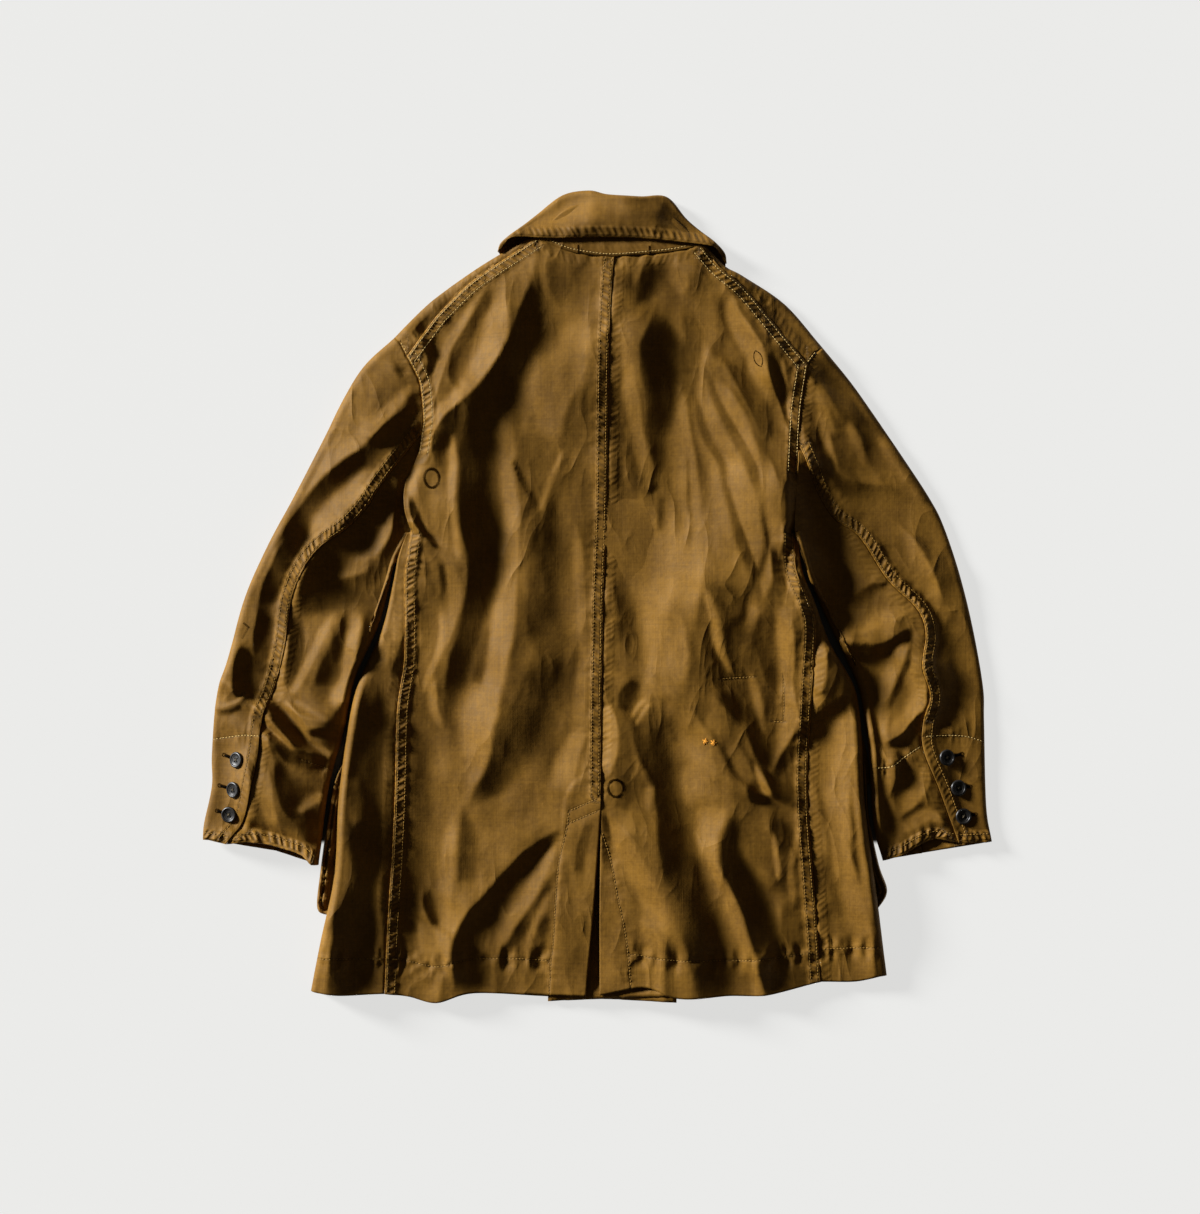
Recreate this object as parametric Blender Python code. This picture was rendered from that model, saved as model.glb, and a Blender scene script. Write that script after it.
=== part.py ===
"""A pea coat lying flat on its front, back up, collar towards +Y and the sleeves beside the body.

Every piece of cloth is a wall of its own, cut along named seams. A piece is one or more grids of points
on its outer face; the grids of a wrapped piece (a front, a sleeve, the collar leaf) run over the top,
round the fold of the garment and back underneath it. Sizes are in millimetres. Left and right are as
seen from above, with the collar away from the viewer.
"""
import math

import bmesh
import bpy
import numpy as np
from mathutils import Matrix, Vector
from mathutils.bvhtree import BVHTree

MM = 0.001

# Driving sizes
CLOTH = 1.2          # wall of the cloth
SEAM_GAP = 0.36      # clear width of a seam
LAYER = 1.6          # rise from one layer of cloth to the one that lies on it
INNER_FRONT = 2.6    # rise of the right front where it lies on the left one
LOFT = 19.0          # top of the body above the ground, between its folds
TOP_FLOOR = 13.5     # no fold of the top layer goes lower than this
LEAF_RISE = 3.0      # the collar leaf above the neck
STAND_TIP = 8.0      # top edge of the collar stand above the ground, inside the leaf
ROLL_STEPS = 4       # facets round a folded edge
WELD = 0.05          # points of a piece nearer than this are one
LAPEL_BREAK = 130.0  # y where the fronts' free edges turn into lapels
FRONT_HEM = -385.0   # y of the fronts' hem at their free edges
LAPPED_FROM, LAPPED_TO = 95.0, 140.0            # x where the right front comes down beside the left one

CUFF_BUTTON = {"radius": 7.75, "height": 2.8, "hole": 0.9, "spread": 2.1}
FRONT_BUTTON = {"radius": 11.5, "height": 3.6, "hole": 1.3, "spread": 3.0}
CUFF_BUTTONS = {"left": [(-343.5, -156), (-346, -184.5), (-351.5, -208.5)],
                "right": [(334, -153.5), (345, -183), (350, -210.5)]}
FRONT_BUTTON_COLUMNS = (-27.0, 55.0)
FRONT_BUTTON_ROWS = (95.0, -20.0, -135.0)
BUTTON_SIDES, HOLE_SIDES = 16, 8
BUTTON_RISE = 0.5    # clear of the cloth, where its shank of thread is

# What lies under the fronts lifts them: centre, half size, slope and rise of each lifted field
#     x,    y, half_x, half_y, slope, rise
LIFTS = [
    (15, 228, 182, 160, 30, 1.6),      # lapels and collar points
    (14, -20, 118, 190, 36, 4.0),      # front buttons
    (-185, -238, 125, 145, 28, 3.2),   # left pocket and flap
    (192, -238, 125, 145, 28, 3.2),    # right pocket and flap
]

# The large folds of the top layer: a bent ridge from one end to the other, or a trough where height < 0
#    x0,   y0,   x1,   y1, bend, width, height
FOLDS = [
    (-70, 320, -152, 150, 6, 22, 8),          # left back, shoulder blade ridge
    (-150, 165, -160, -120, -8, 22, 8),
    (-40, 300, -98, 170, 0, 20, -5),          # trough on its right
    (-98, 175, -125, -110, 10, 20, -5),
    (-72, 180, -95, -165, 14, 22, 5),
    (-110, -150, -150, -365, 8, 18, 7),       # below the left pocket's top
    (-45, -225, -135, -345, 0, 20, -5),
    (65, 300, 62, 95, 0, 24, -6),             # right back, funnel below the neck
    (120, 280, 165, 170, 0, 20, 6),
    (95, 150, 150, -60, 10, 30, 5),
    (162, -120, 165, -200, 0, 18, 6),
    (80, -190, 150, -350, 0, 20, 6),
    (115, -190, 180, -340, 0, 18, -5),
    (30, -230, 95, -330, 0, 18, 4),
    (-205, 175, -300, 15, 8, 42, 8),          # left sleeve
    (-292, 30, -320, -225, 0, 40, 5),
    (210, 165, 300, 15, -8, 42, 8),           # right sleeve
    (292, 30, 320, -225, 0, 40, 5),
]

# Seams and folds of the garment in plan, from the collar down or from the centre out
CENTRE_SEAM = [(16, 321.5), (11, 225), (9, 76), (5, -55), (3.5, -200)]
LEFT = {
    "neck": [(16, 321.5), (-5, 323), (-30, 328), (-57, 340)],
    "shoulder_fold": [(-66, 340.5), (-93, 325), (-120, 308), (-160, 279), (-193, 246)],
    "shoulder_seam": [(-57, 340), (-87, 321), (-118, 300), (-156, 263), (-181, 228)],
    "armhole_top": [(-181, 228), (-169, 195), (-167, 155)],
    "armhole_low": [(-167, 155), (-170, 135), (-182, 108), (-183, 84), (-177, 62)],
    "armhole_hidden": [(-172, 195), (-168, 150), (-176, 100)],
    "side_fold": [(-181, 60), (-189, 39), (-194, 15), (-205, -32), (-227, -81), (-237, -128), (-245, -190),
                  (-249, -263), (-262, -325), (-272, -374)],
    "side_seam": [(-177, 62), (-180, 39), (-183, 15), (-183, -55), (-190, -107), (-192, -185), (-195, -250),
                  (-200, -330), (-202, -377)],
    "hem_side": [(-202, -377), (-240, -378)],
    "vent": [(3.5, -200), (-3, -290), (-11, -379.5)],
    "hem": [(-11, -379.5), (-75, -378), (-122, -377), (-153, -386), (-179, -380), (-202, -377)],
    "front_edge": 75,
    "front_hem": [(-150, -375), (-60, -380)],
    "sleeve_fold": [(-193, 246), (-240, 190), (-287, 98), (-335, 0), (-362, -94), (-367, -180), (-375, -231)],
    "elbow_seam": [(-167, 155), (-203, 108), (-238, 64), (-277, 27), (-294, -19), (-305, -81), (-319, -131),
                   (-326, -175), (-335, -211), (-352, -235)],
    "front_sleeve_seam": [(-168, 150), (-215, 60), (-262, -40), (-290, -140), (-305, -242)],
    "inner_fold": [(-182, 60), (-192, 36), (-198, 10), (-209, -32), (-229.5, -81), (-240, -125),
                   (-254, -175), (-261, -224), (-264, -254)],
    "cuff_under": [(-352, -235), (-322, -233), (-283, -243)],
    "pocket_outer": [(-240, -151), (-252, -180), (-259, -224), (-264, -262), (-267, -297), (-256, -304)],
    "pocket_inner": [(-112, -165), (-116, -315)],
    "flap_outer": [(-238, -130), (-243, -152), (-247, -176)],
    "flap_inner": [(-106, -140), (-108, -186)],
    "lapel_fold": [(66, 134), (-50, 306)],
    "lapel_edge": [(60, 128), (-30, 188), (-112, 212), (-80, 254)],
}
RIGHT = {
    "neck": [(16, 321.5), (49, 324), (75, 327), (98, 333)],
    "shoulder_fold": [(102, 334), (121, 314), (139, 304), (179, 277), (214, 236.5)],
    "shoulder_seam": [(98, 333), (116, 312), (139, 293), (160, 268), (199, 220)],
    "armhole_top": [(199, 220), (194, 185), (190.5, 144)],
    "armhole_low": [(190.5, 144), (189, 115), (187, 88), (186, 62)],
    "armhole_hidden": [(196, 195), (188, 150), (187, 100)],
    "side_fold": [(189.5, 59.5), (194, 25), (204, 0), (221, -45), (243, -84), (250, -120), (254, -200),
                  (264, -276), (271, -330), (275, -360)],
    "side_seam": [(186, 62), (188, 25), (193, -5), (199, -55), (201, -120), (200, -190), (205, -270),
                  (209, -315), (212, -366)],
    "hem_side": [(212, -366), (245, -366)],
    "vent": [(3.5, -200), (2, -290), (2, -379)],
    "hem": [(2, -379), (45, -371), (76, -381), (123, -379), (162, -378), (212, -366)],
    "front_edge": -47,
    "front_hem": [(150, -372), (60, -379)],
    "sleeve_fold": [(214, 236.5), (260, 177), (300, 117), (335, 44), (357, -29), (368, -120), (375, -233)],
    "elbow_seam": [(190.5, 144), (211, 95), (244, 61), (276, 15), (303, -12), (311, -45), (315, -94),
                   (309, -145), (325, -185), (343, -234)],
    "front_sleeve_seam": [(188, 150), (224, 60), (268, -40), (294, -140), (309, -244)],
    "inner_fold": [(192, 61), (199, 25), (208, 0), (224, -35), (247, -84), (254, -120), (258, -150),
                   (262, -215), (271, -251)],
    "cuff_under": [(343, -234), (318, -231), (292, -244)],
    "pocket_outer": [(256, -159), (259, -210), (268, -255), (276, -280), (268, -296), (258, -304)],
    "pocket_inner": [(122, -165), (126, -315)],
    "flap_outer": [(252, -132), (257, -152), (260, -178)],
    "flap_inner": [(116, -140), (118, -186)],
    "lapel_fold": [(24, 226), (84, 300)],
    "lapel_edge": [(66, 172), (110, 190), (142, 212), (114, 254)],
}
COLLAR = {
    "fold": [(-95, 328), (-91, 337), (-73, 351), (-57, 364), (-33, 382), (-8, 386), (10, 382), (40, 380),
             (66, 380), (86, 358), (110, 338), (121, 327), (123, 317)],
    "leaf_edge": [(-92, 329), (-88, 335), (-78, 340.5), (-41, 339), (1, 340), (40, 339), (73, 336),
                  (107, 332), (116, 326), (120, 318.5)],
    "hidden_edge": [(-91, 322), (-97, 262), (-62, 300), (-35, 345), (15, 352), (62, 345), (100, 318),
                    (128, 268), (119, 312)],
    "stand_top": [(-48, 352), (-25, 370), (15, 373), (60, 368), (86, 347)],
}

# How far a folded edge reaches out from the line where it starts to turn: at the start, a quarter on, the end
REACH = {
    "shoulder_fold": (2.5, 7.0, 8.0),
    "sleeve_fold": (8.0, 10.0, 8.0),
    "inner_fold": (0.4, 7.0, 6.0),
    "side_fold": (0.4, 8.0, 7.0),
    "collar": (1.0, 6.0, 1.0),
}

# Points inside the outline, which tell a fold's outer side
BODY_MIDDLE, COLLAR_MIDDLE = (5, 0), (15, 335)

# Facets along each line; the centre seam and vent together have as many as the armhole and side seam
STEPS = {"neck": 3, "shoulder": 8, "armhole_top": 2, "armhole_low": 3, "side": 11, "centre": 12, "vent": 4,
         "sleeve": 14, "collar": 14, "lapel_fold": 5}

# Colour and roughness of each kind of piece
CLOTH_COLOUR, INNER_COLOUR, CLOTH_ROUGHNESS = (0.155, 0.085, 0.022), (0.095, 0.052, 0.014), 0.62
BUTTON_COLOUR, BUTTON_ROUGHNESS = (0.022, 0.012, 0.006), 0.30
SMOOTH_BELOW = math.radians(50)


# ---------------------------------------------------------------- lines in plan

def smooth_line(points, steps):
    """A smooth line through a few points, as steps + 1 points an equal length apart."""
    p = np.array(points, float)
    if len(p) > 2:
        ends = np.vstack([2 * p[0] - p[1], p, 2 * p[-1] - p[-2]])
        s = np.linspace(0, 1, 9)[:-1, None]
        a, b, c, d = (ends[k:len(ends) - 3 + k] for k in range(4))
        pieces = [0.5 * (2 * b[i] + (c[i] - a[i]) * s + (2 * a[i] - 5 * b[i] + 4 * c[i] - d[i]) * s ** 2
                         + (3 * b[i] - a[i] - 3 * c[i] + d[i]) * s ** 3) for i in range(len(b))]
        p = np.vstack(pieces + [p[-1:]])
    run = np.concatenate([[0], np.cumsum(np.linalg.norm(np.diff(p, axis=0), axis=1))])
    at = np.linspace(0, run[-1], steps + 1)
    return np.column_stack([np.interp(at, run, p[:, 0]), np.interp(at, run, p[:, 1])])


def chain(*lines):
    """Lines end to end as one."""
    return np.vstack([lines[0]] + [line[1:] for line in lines[1:]])


def outward(line, inside):
    """Unit normals of a line in plan, on the side away from the point inside."""
    along = np.gradient(line, axis=0)
    normal = np.column_stack([along[:, 1], -along[:, 0]])
    normal /= np.linalg.norm(normal, axis=1)[:, None]
    middle = len(line) // 2
    if np.dot(normal[middle], line[middle] - np.array(inside)) < 0:
        normal = -normal
    return normal


def fold_start(points, kind, steps, inside):
    """The line where a fold starts to turn, its outward normals, and how far the fold reaches from it."""
    line = smooth_line(points, steps)
    out = outward(line, inside)
    reach = np.interp(np.linspace(0, 1, steps + 1), (0, 0.25, 1), REACH[kind])
    return line - out * reach[:, None], out, reach


def coons(start, end, left, right):
    """Grid of plan points between four lines: left and right run from start to end."""
    v = np.linspace(0, 1, len(left))[:, None, None]
    u = np.linspace(0, 1, len(start))[None, :, None]
    corners = (1 - u) * (1 - v) * start[0] + u * (1 - v) * start[-1] + (1 - u) * v * end[0] + u * v * end[-1]
    return (1 - v) * start[None] + v * end[None] + (1 - u) * left[:, None] + u * right[:, None] - corners


# ---------------------------------------------------------------- heights

def soft_step(low, high, value):
    t = np.clip((value - low) / (high - low), 0, 1)
    return t * t * (3 - 2 * t)


def fold_height(x, y, x0, y0, x1, y1, bend, width, height):
    """A bent ridge that tapers off at both ends."""
    dx, dy = x1 - x0, y1 - y0
    length = math.hypot(dx, dy)
    s = ((x - x0) * dx + (y - y0) * dy) / length ** 2
    held = np.clip(s, 0, 1)
    across = ((y - y0) * dx - (x - x0) * dy) / length - 4 * bend * held * (1 - held)
    taper = soft_step(-0.12, 0.2, s) * (1 - soft_step(0.8, 1.12, s))
    return height * taper * np.exp(-(across / width) ** 2)


def top_height(x, y):
    """Outer face of everything that faces up."""
    z = LOFT + sum(fold_height(x, y, *fold) for fold in FOLDS)
    return TOP_FLOOR + np.logaddexp(0, (z - TOP_FLOOR) / 2) * 2


def lift(x, y):
    """How far the fronts are held off the ground by what lies under them."""
    rise = np.zeros(np.broadcast(x, y).shape)
    for cx, cy, half_x, half_y, slope, height in LIFTS:
        side = 1 - soft_step(half_x - slope, half_x, abs(x - cx))
        rise = np.maximum(rise, height * side * (1 - soft_step(half_y - slope, half_y, abs(y - cy))))
    return rise


def inner_front_height(x, y):
    return lift(x, y) + INNER_FRONT * (1 - soft_step(LAPPED_FROM, LAPPED_TO, x))


def leaf_height(x, y):
    return top_height(x, y) + LEAF_RISE


def ground(x, y):
    return np.zeros(np.broadcast(x, y).shape)


def one_layer_up(x, y):
    return ground(x, y) + LAYER


def on_surface(plan, height, side):
    """Points of a plan grid on a height, and the outward normals there; side is 1 on top, -1 underneath."""
    x, y = plan[..., 0], plan[..., 1]
    z = height(x, y)
    slope_x = (height(x + 1, y) - height(x - 1, y)) / 2
    slope_y = (height(x, y + 1) - height(x, y - 1)) / 2
    normal = np.dstack([-slope_x, -slope_y, np.ones_like(z)]) * side
    return np.dstack([plan, z]), normal / np.linalg.norm(normal, axis=2)[..., None]


def rolled(start, out, reach, low, high):
    """The folded edge between the top and the ground layer, from above the line start to below it."""
    z_low, z_high = low(*start.T), high(*start.T)
    half, middle = (z_high - z_low) / 2, (z_high + z_low) / 2
    points, normals = [], []
    for angle in np.linspace(math.pi / 2, -math.pi / 2, ROLL_STEPS + 1):
        c, s = math.cos(angle), math.sin(angle)
        points.append(np.column_stack([start + out * (reach * c)[:, None], middle + half * s]))
        normal = np.column_stack([out * (c / reach)[:, None], s / half])
        normals.append(normal / np.linalg.norm(normal, axis=1)[:, None])
    return np.stack(points, 1), np.stack(normals, 1)


# ---------------------------------------------------------------- cloth as a solid

def weld(grids):
    """The grids as one list of points, normals and faces; points that meet become one."""
    index, points, normals, faces = {}, [], [], []
    for grid, grid_normals in grids:
        rows, columns = grid.shape[:2]
        number = np.zeros((rows, columns), int)
        for i in range(rows):
            for j in range(columns):
                key = tuple(np.floor(grid[i, j] / WELD + 0.37).astype(int))
                if key not in index:
                    index[key] = len(points)
                    points.append(grid[i, j])
                    normals.append(np.zeros(3))
                number[i, j] = index[key]
                normals[index[key]] = normals[index[key]] + grid_normals[i, j]
        for i in range(rows - 1):
            for j in range(columns - 1):
                ring = [number[i, j], number[i, j + 1], number[i + 1, j + 1], number[i + 1, j]]
                ring = [n for k, n in enumerate(ring) if n != ring[k - 1]]
                if len(set(ring)) > 2:
                    faces.append(ring)
    normals = np.array(normals)
    return np.array(points), normals / np.linalg.norm(normals, axis=1)[:, None], faces


def cloth(name, colour, grids):
    """A closed wall of cloth behind the outer face that the grids give."""
    points, normals, faces = weld(grids)
    used = {}
    for face in faces:
        for a, b in zip(face, face[1:] + face[:1]):
            used.setdefault(frozenset((a, b)), []).append((a, b))
    rim = [edges[0] for edges in used.values() if len(edges) == 1]
    inward = np.zeros_like(points)
    for a, b in rim:
        along = (points[b] - points[a]) / np.linalg.norm(points[b] - points[a])
        for end in (a, b):
            inward[end] += np.cross(normals[end], along)
    middle = np.zeros_like(points)
    for face in faces:
        middle[face] += points[face].mean(0) - points[face]
    trimmed = points.copy()
    for v in sorted({v for edge in rim for v in edge}):
        step = inward[v] / max(np.linalg.norm(inward[v]), 1e-9)
        trimmed[v] += math.copysign(SEAM_GAP / 2, np.dot(step, middle[v])) * step
    count = len(points)
    inner = trimmed - normals * CLOTH
    solid = faces + [[v + count for v in reversed(face)] for face in faces]
    solid += [[b, a, a + count, b + count] for a, b in rim]
    mesh = bpy.data.meshes.new(name)
    mesh.from_pydata((np.vstack([trimmed, inner]) * MM).tolist(), [], solid)
    work = bmesh.new()
    work.from_mesh(mesh)
    bmesh.ops.triangulate(work, faces=work.faces)
    bmesh.ops.recalc_face_normals(work, faces=work.faces)
    work.to_mesh(mesh)
    work.free()
    return finished(name, mesh, colour, CLOTH_ROUGHNESS)


def finished(name, mesh, colour, roughness):
    """An object of its own with its own material, smooth but for its sharp edges."""
    material = bpy.data.materials.new(name)
    material.use_nodes = True
    shader = material.node_tree.nodes["Principled BSDF"]
    shader.inputs["Base Color"].default_value = (*colour, 1)
    shader.inputs["Roughness"].default_value = roughness
    shader.inputs["Metallic"].default_value = 0
    mesh.materials.append(material)
    mesh.shade_smooth()
    mesh.set_sharp_from_angle(angle=SMOOTH_BELOW)
    item = bpy.data.objects.new(name, mesh)
    bpy.context.scene.collection.objects.link(item)
    return item


def wrapped(name, colour, top_edge, fold, first, last, hidden_edge, low, high=top_height):
    """A piece that runs from its top edge over a fold to its hidden edge underneath.

    fold is what fold_start gives. first and last hold the plan lines of the piece's two ends: on top
    from the top edge to the fold, and underneath from the fold to the hidden edge.
    """
    start, out, reach = fold
    return cloth(name, colour, [
        on_surface(coons(first[0], last[0], top_edge, start), high, 1),
        rolled(start, out, reach, low, high),
        on_surface(coons(first[1], last[1], start, hidden_edge), low, -1),
    ])


# ---------------------------------------------------------------- the body

def armhole(cut):
    """The armhole in plan: its stretches on top, from the shoulder fold to the armpit, then underneath."""
    tip = fold_start(cut["shoulder_fold"], "shoulder_fold", STEPS["shoulder"], BODY_MIDDLE)[0][-1]
    hidden = cut["armhole_hidden"]
    return {
        "wrap": smooth_line([tip, cut["armhole_top"][0]], 1),
        "high": smooth_line(cut["armhole_top"], STEPS["armhole_top"]),
        "low": smooth_line(cut["armhole_low"], STEPS["armhole_low"]),
        "under_high": smooth_line([tip] + hidden[:2], STEPS["armhole_top"] + 1),
    }


def hidden_low(cut, armpit):
    """The armhole underneath, from the front sleeve seam to the armpit."""
    return smooth_line(cut["armhole_hidden"][1:] + [armpit], STEPS["armhole_low"])


def back(name, cut):
    """Half of the back: centre seam and vent, hem, side seam, armhole, shoulder and neck."""
    hole = armhole(cut)
    middle = chain(smooth_line(CENTRE_SEAM, STEPS["centre"]), smooth_line(cut["vent"], STEPS["vent"]))
    outer = chain(hole["high"], hole["low"], smooth_line(cut["side_seam"], STEPS["side"]))
    across = chain(smooth_line(cut["neck"], STEPS["neck"]), smooth_line(cut["shoulder_seam"], STEPS["shoulder"]))
    hem = smooth_line(cut["hem"], len(across) - 1)
    cloth(name, CLOTH_COLOUR, [on_surface(coons(across, hem, middle, outer), top_height, 1)])


def front(name, cut, height):
    """A front: it lies underneath, and wraps over the shoulder and round the side to the back."""
    hole = armhole(cut)
    shoulder, shoulder_out, shoulder_reach = fold_start(
        cut["shoulder_fold"], "shoulder_fold", STEPS["shoulder"], BODY_MIDDLE)
    shoulder_seam = smooth_line(cut["shoulder_seam"], STEPS["shoulder"])
    over_shoulder = coons(smooth_line([shoulder_seam[0], shoulder[0]], 1), hole["wrap"][::-1],
                          shoulder_seam, shoulder)
    side, side_out, side_reach = fold_start(cut["side_fold"], "side_fold", STEPS["side"], BODY_MIDDLE)
    side_seam = smooth_line(cut["side_seam"], STEPS["side"])
    over_side = coons(smooth_line([side_seam[0], side[0]], 2), smooth_line(cut["hem_side"] + [side[-1]], 2),
                      side_seam, side)
    outer = chain(hole["under_high"], hidden_low(cut, tuple(side[0])), side)
    free_x = cut["front_edge"]
    free_steps = len(outer) - 1 - STEPS["lapel_fold"]
    free = chain(smooth_line([shoulder[0], (free_x, LAPEL_BREAK)], STEPS["lapel_fold"]),
                 smooth_line([(free_x, LAPEL_BREAK), (free_x, FRONT_HEM)], free_steps))
    hem = smooth_line([side[-1]] + cut["front_hem"] + [(free_x, FRONT_HEM)], STEPS["shoulder"])
    cloth(name, CLOTH_COLOUR, [
        on_surface(coons(shoulder[::-1], hem, outer, free), height, -1),
        on_surface(over_side, top_height, 1),
        rolled(side, side_out, side_reach, height, top_height),
        on_surface(over_shoulder, top_height, 1),
        rolled(shoulder, shoulder_out, shoulder_reach, height, top_height),
    ])


def flat_piece(name, colour, first_edge, second_edge, steps, height):
    """A pocket, flap or lapel: it lies under a front, between two edges."""
    first, second = smooth_line(first_edge, steps), smooth_line(second_edge, steps)
    plan = coons(smooth_line([first[0], second[0]], steps), smooth_line([first[-1], second[-1]], steps),
                 first, second)
    cloth(name, colour, [on_surface(plan, height, -1)])


# ---------------------------------------------------------------- sleeves

def sleeves(side, cut):
    """The upper sleeve wraps the outer fold of the arm and the under sleeve the inner fold."""
    hole, rows = armhole(cut), STEPS["sleeve"]
    elbow = smooth_line(cut["elbow_seam"], rows)
    hidden = smooth_line(cut["front_sleeve_seam"], rows)
    middle = tuple(elbow[rows // 2])

    outer = fold_start(cut["sleeve_fold"], "sleeve_fold", rows, middle)
    outer[0][0] = hole["wrap"][0]
    over = chain(hole["high"][::-1], hole["wrap"][::-1])
    cuff = smooth_line([elbow[-1], outer[0][-1]], len(over) - 1)
    under_cuff = smooth_line([outer[0][-1], hidden[-1]], len(hole["under_high"]) - 1)
    wrapped("upper_sleeve_" + side, CLOTH_COLOUR, elbow, outer, (over, hole["under_high"]), (cuff, under_cuff),
            hidden, ground)

    inner = fold_start(cut["inner_fold"], "inner_fold", rows, middle)
    armpit = inner[0][0]
    over = chain(hole["low"], smooth_line([hole["low"][-1], armpit], 1))
    cuff = smooth_line(cut["cuff_under"] + [tuple(inner[0][-1])], len(over) - 1)
    under = hidden_low(cut, tuple(armpit))[::-1]
    under_cuff = smooth_line([inner[0][-1], hidden[-1]], len(under) - 1)
    wrapped("under_sleeve_" + side, CLOTH_COLOUR, elbow, inner, (over, under), (cuff, under_cuff), hidden, ground)


# ---------------------------------------------------------------- collar

def collar():
    """The leaf is folded all along its outline; the stand rises from the neck seam inside it."""
    fold = fold_start(COLLAR["fold"], "collar", STEPS["collar"], COLLAR_MIDDLE)
    edge, hidden = (smooth_line(COLLAR[key], STEPS["collar"]) for key in ("leaf_edge", "hidden_edge"))
    ends = [(smooth_line([edge[k], fold[0][k]], 2), smooth_line([fold[0][k], hidden[k]], 2)) for k in (0, -1)]
    wrapped("collar_leaf", CLOTH_COLOUR, edge, fold, ends[0], ends[1], hidden, ground, leaf_height)

    neck = chain(smooth_line(LEFT["neck"], STEPS["neck"])[::-1], smooth_line(RIGHT["neck"], STEPS["neck"]))
    rim = smooth_line(COLLAR["stand_top"], len(neck) - 1)
    plan = coons(neck, rim, smooth_line([neck[0], rim[0]], 3), smooth_line([neck[-1], rim[-1]], 3))
    points, normals = on_surface(plan, top_height, 1)
    inside = np.linspace(0, 1, len(plan))[:, None]
    points[..., 2] = points[..., 2] * (1 - inside) + STAND_TIP * inside
    cloth("collar_stand", INNER_COLOUR, [(points, normals)])


# ---------------------------------------------------------------- buttons

def turned_mesh(name, radius, height):
    """A turned button with a rounded rim and a dished face."""
    dish = height * 0.72
    profile = [(0, 0), (radius * 0.86, 0), (radius, height * 0.35), (radius, height * 0.7),
               (radius * 0.93, height), (radius * 0.8, height), (radius * 0.66, dish), (0, dish)]
    work = bmesh.new()
    ring = [work.verts.new((r * MM, 0, z * MM)) for r, z in profile]
    edges = [work.edges.new(pair) for pair in zip(ring, ring[1:])]
    bmesh.ops.spin(work, geom=ring + edges, axis=(0, 0, 1), cent=(0, 0, 0), dvec=(0, 0, 0),
                   angle=2 * math.pi, steps=BUTTON_SIDES, use_merge=True)
    bmesh.ops.remove_doubles(work, verts=work.verts, dist=WELD * MM)
    bmesh.ops.recalc_face_normals(work, faces=work.faces)
    mesh = bpy.data.meshes.new(name)
    work.to_mesh(mesh)
    work.free()
    return mesh


def drill(item, hole, spread, depth):
    """Cut the four thread holes with one cutter of four pins."""
    work = bmesh.new()
    for quarter in range(4):
        at = Matrix.Rotation(math.pi / 4 + quarter * math.pi / 2, 4, "Z") @ Matrix.Translation((spread * MM, 0, 0))
        bmesh.ops.create_cone(work, cap_ends=True, segments=HOLE_SIDES, radius1=hole * MM, radius2=hole * MM,
                              depth=depth * MM, matrix=at)
    mesh = bpy.data.meshes.new(item.name + "_pins")
    work.to_mesh(mesh)
    work.free()
    cutter = bpy.data.objects.new(mesh.name, mesh)
    cutter.hide_render = True
    cutter.display_type = "WIRE"
    cutter.parent = item
    bpy.context.scene.collection.objects.link(cutter)
    cut = item.modifiers.new("holes", "BOOLEAN")
    cut.operation = "DIFFERENCE"
    cut.object = cutter


def button(name, size, place):
    mesh = turned_mesh(name, size["radius"], size["height"])
    item = finished(name, mesh, BUTTON_COLOUR, BUTTON_ROUGHNESS)
    item.matrix_world = place
    drill(item, size["hole"], size["spread"], 4 * size["height"])


def seat(trees, x, y, radius):
    """Where a button of that radius lies level on the cloth below (x, y), just clear of its highest point."""
    drop = Vector((0, 0, -1))
    centre = Vector((x, y, 0)) * MM
    above = Vector((0, 0, 4 * LOFT)) * MM
    rays = [tree.ray_cast(centre + above, drop) for tree in trees]
    normal = next(ray[1] for ray in rays if ray[0] is not None)
    rise = 0
    for spoke in range(HOLE_SIDES * 2):
        for share in (0.5, 1.0):
            arm = Matrix.Rotation(spoke * math.pi / HOLE_SIDES, 3, "Z") @ Vector((radius * share * MM, 0, 0))
            found = [tree.ray_cast(centre + arm + above, drop)[0] for tree in trees]
            found = [point.z for point in found if point is not None]
            if found:
                rise = max(rise, max(found) + normal.xy.dot(arm.xy) / normal.z)
    turn = Vector((0, 0, 1)).rotation_difference(normal).to_matrix().to_4x4()
    return Matrix.Translation(centre + Vector((0, 0, rise + BUTTON_RISE * MM))) @ turn


def cuff_buttons(side):
    """Three buttons in a row on the placket of the upper sleeve."""
    graph = bpy.context.evaluated_depsgraph_get()
    trees = [BVHTree.FromObject(bpy.data.objects[name + side], graph) for name in ("upper_sleeve_", "under_sleeve_")]
    for number, (x, y) in enumerate(CUFF_BUTTONS[side], 1):
        button("cuff_button_%s_%d" % (side, number), CUFF_BUTTON, seat(trees, x, y, CUFF_BUTTON["radius"]))


def front_buttons():
    """Two columns on the outer face of the left front, face down."""
    places = [(x, y) for x in FRONT_BUTTON_COLUMNS for y in FRONT_BUTTON_ROWS]
    face_down = Matrix.Rotation(math.pi, 4, "X")
    for number, (x, y) in enumerate(places, 1):
        button("front_button_%d" % number, FRONT_BUTTON,
               Matrix.Translation(Vector((x, y, FRONT_BUTTON["height"])) * MM) @ face_down)


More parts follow.
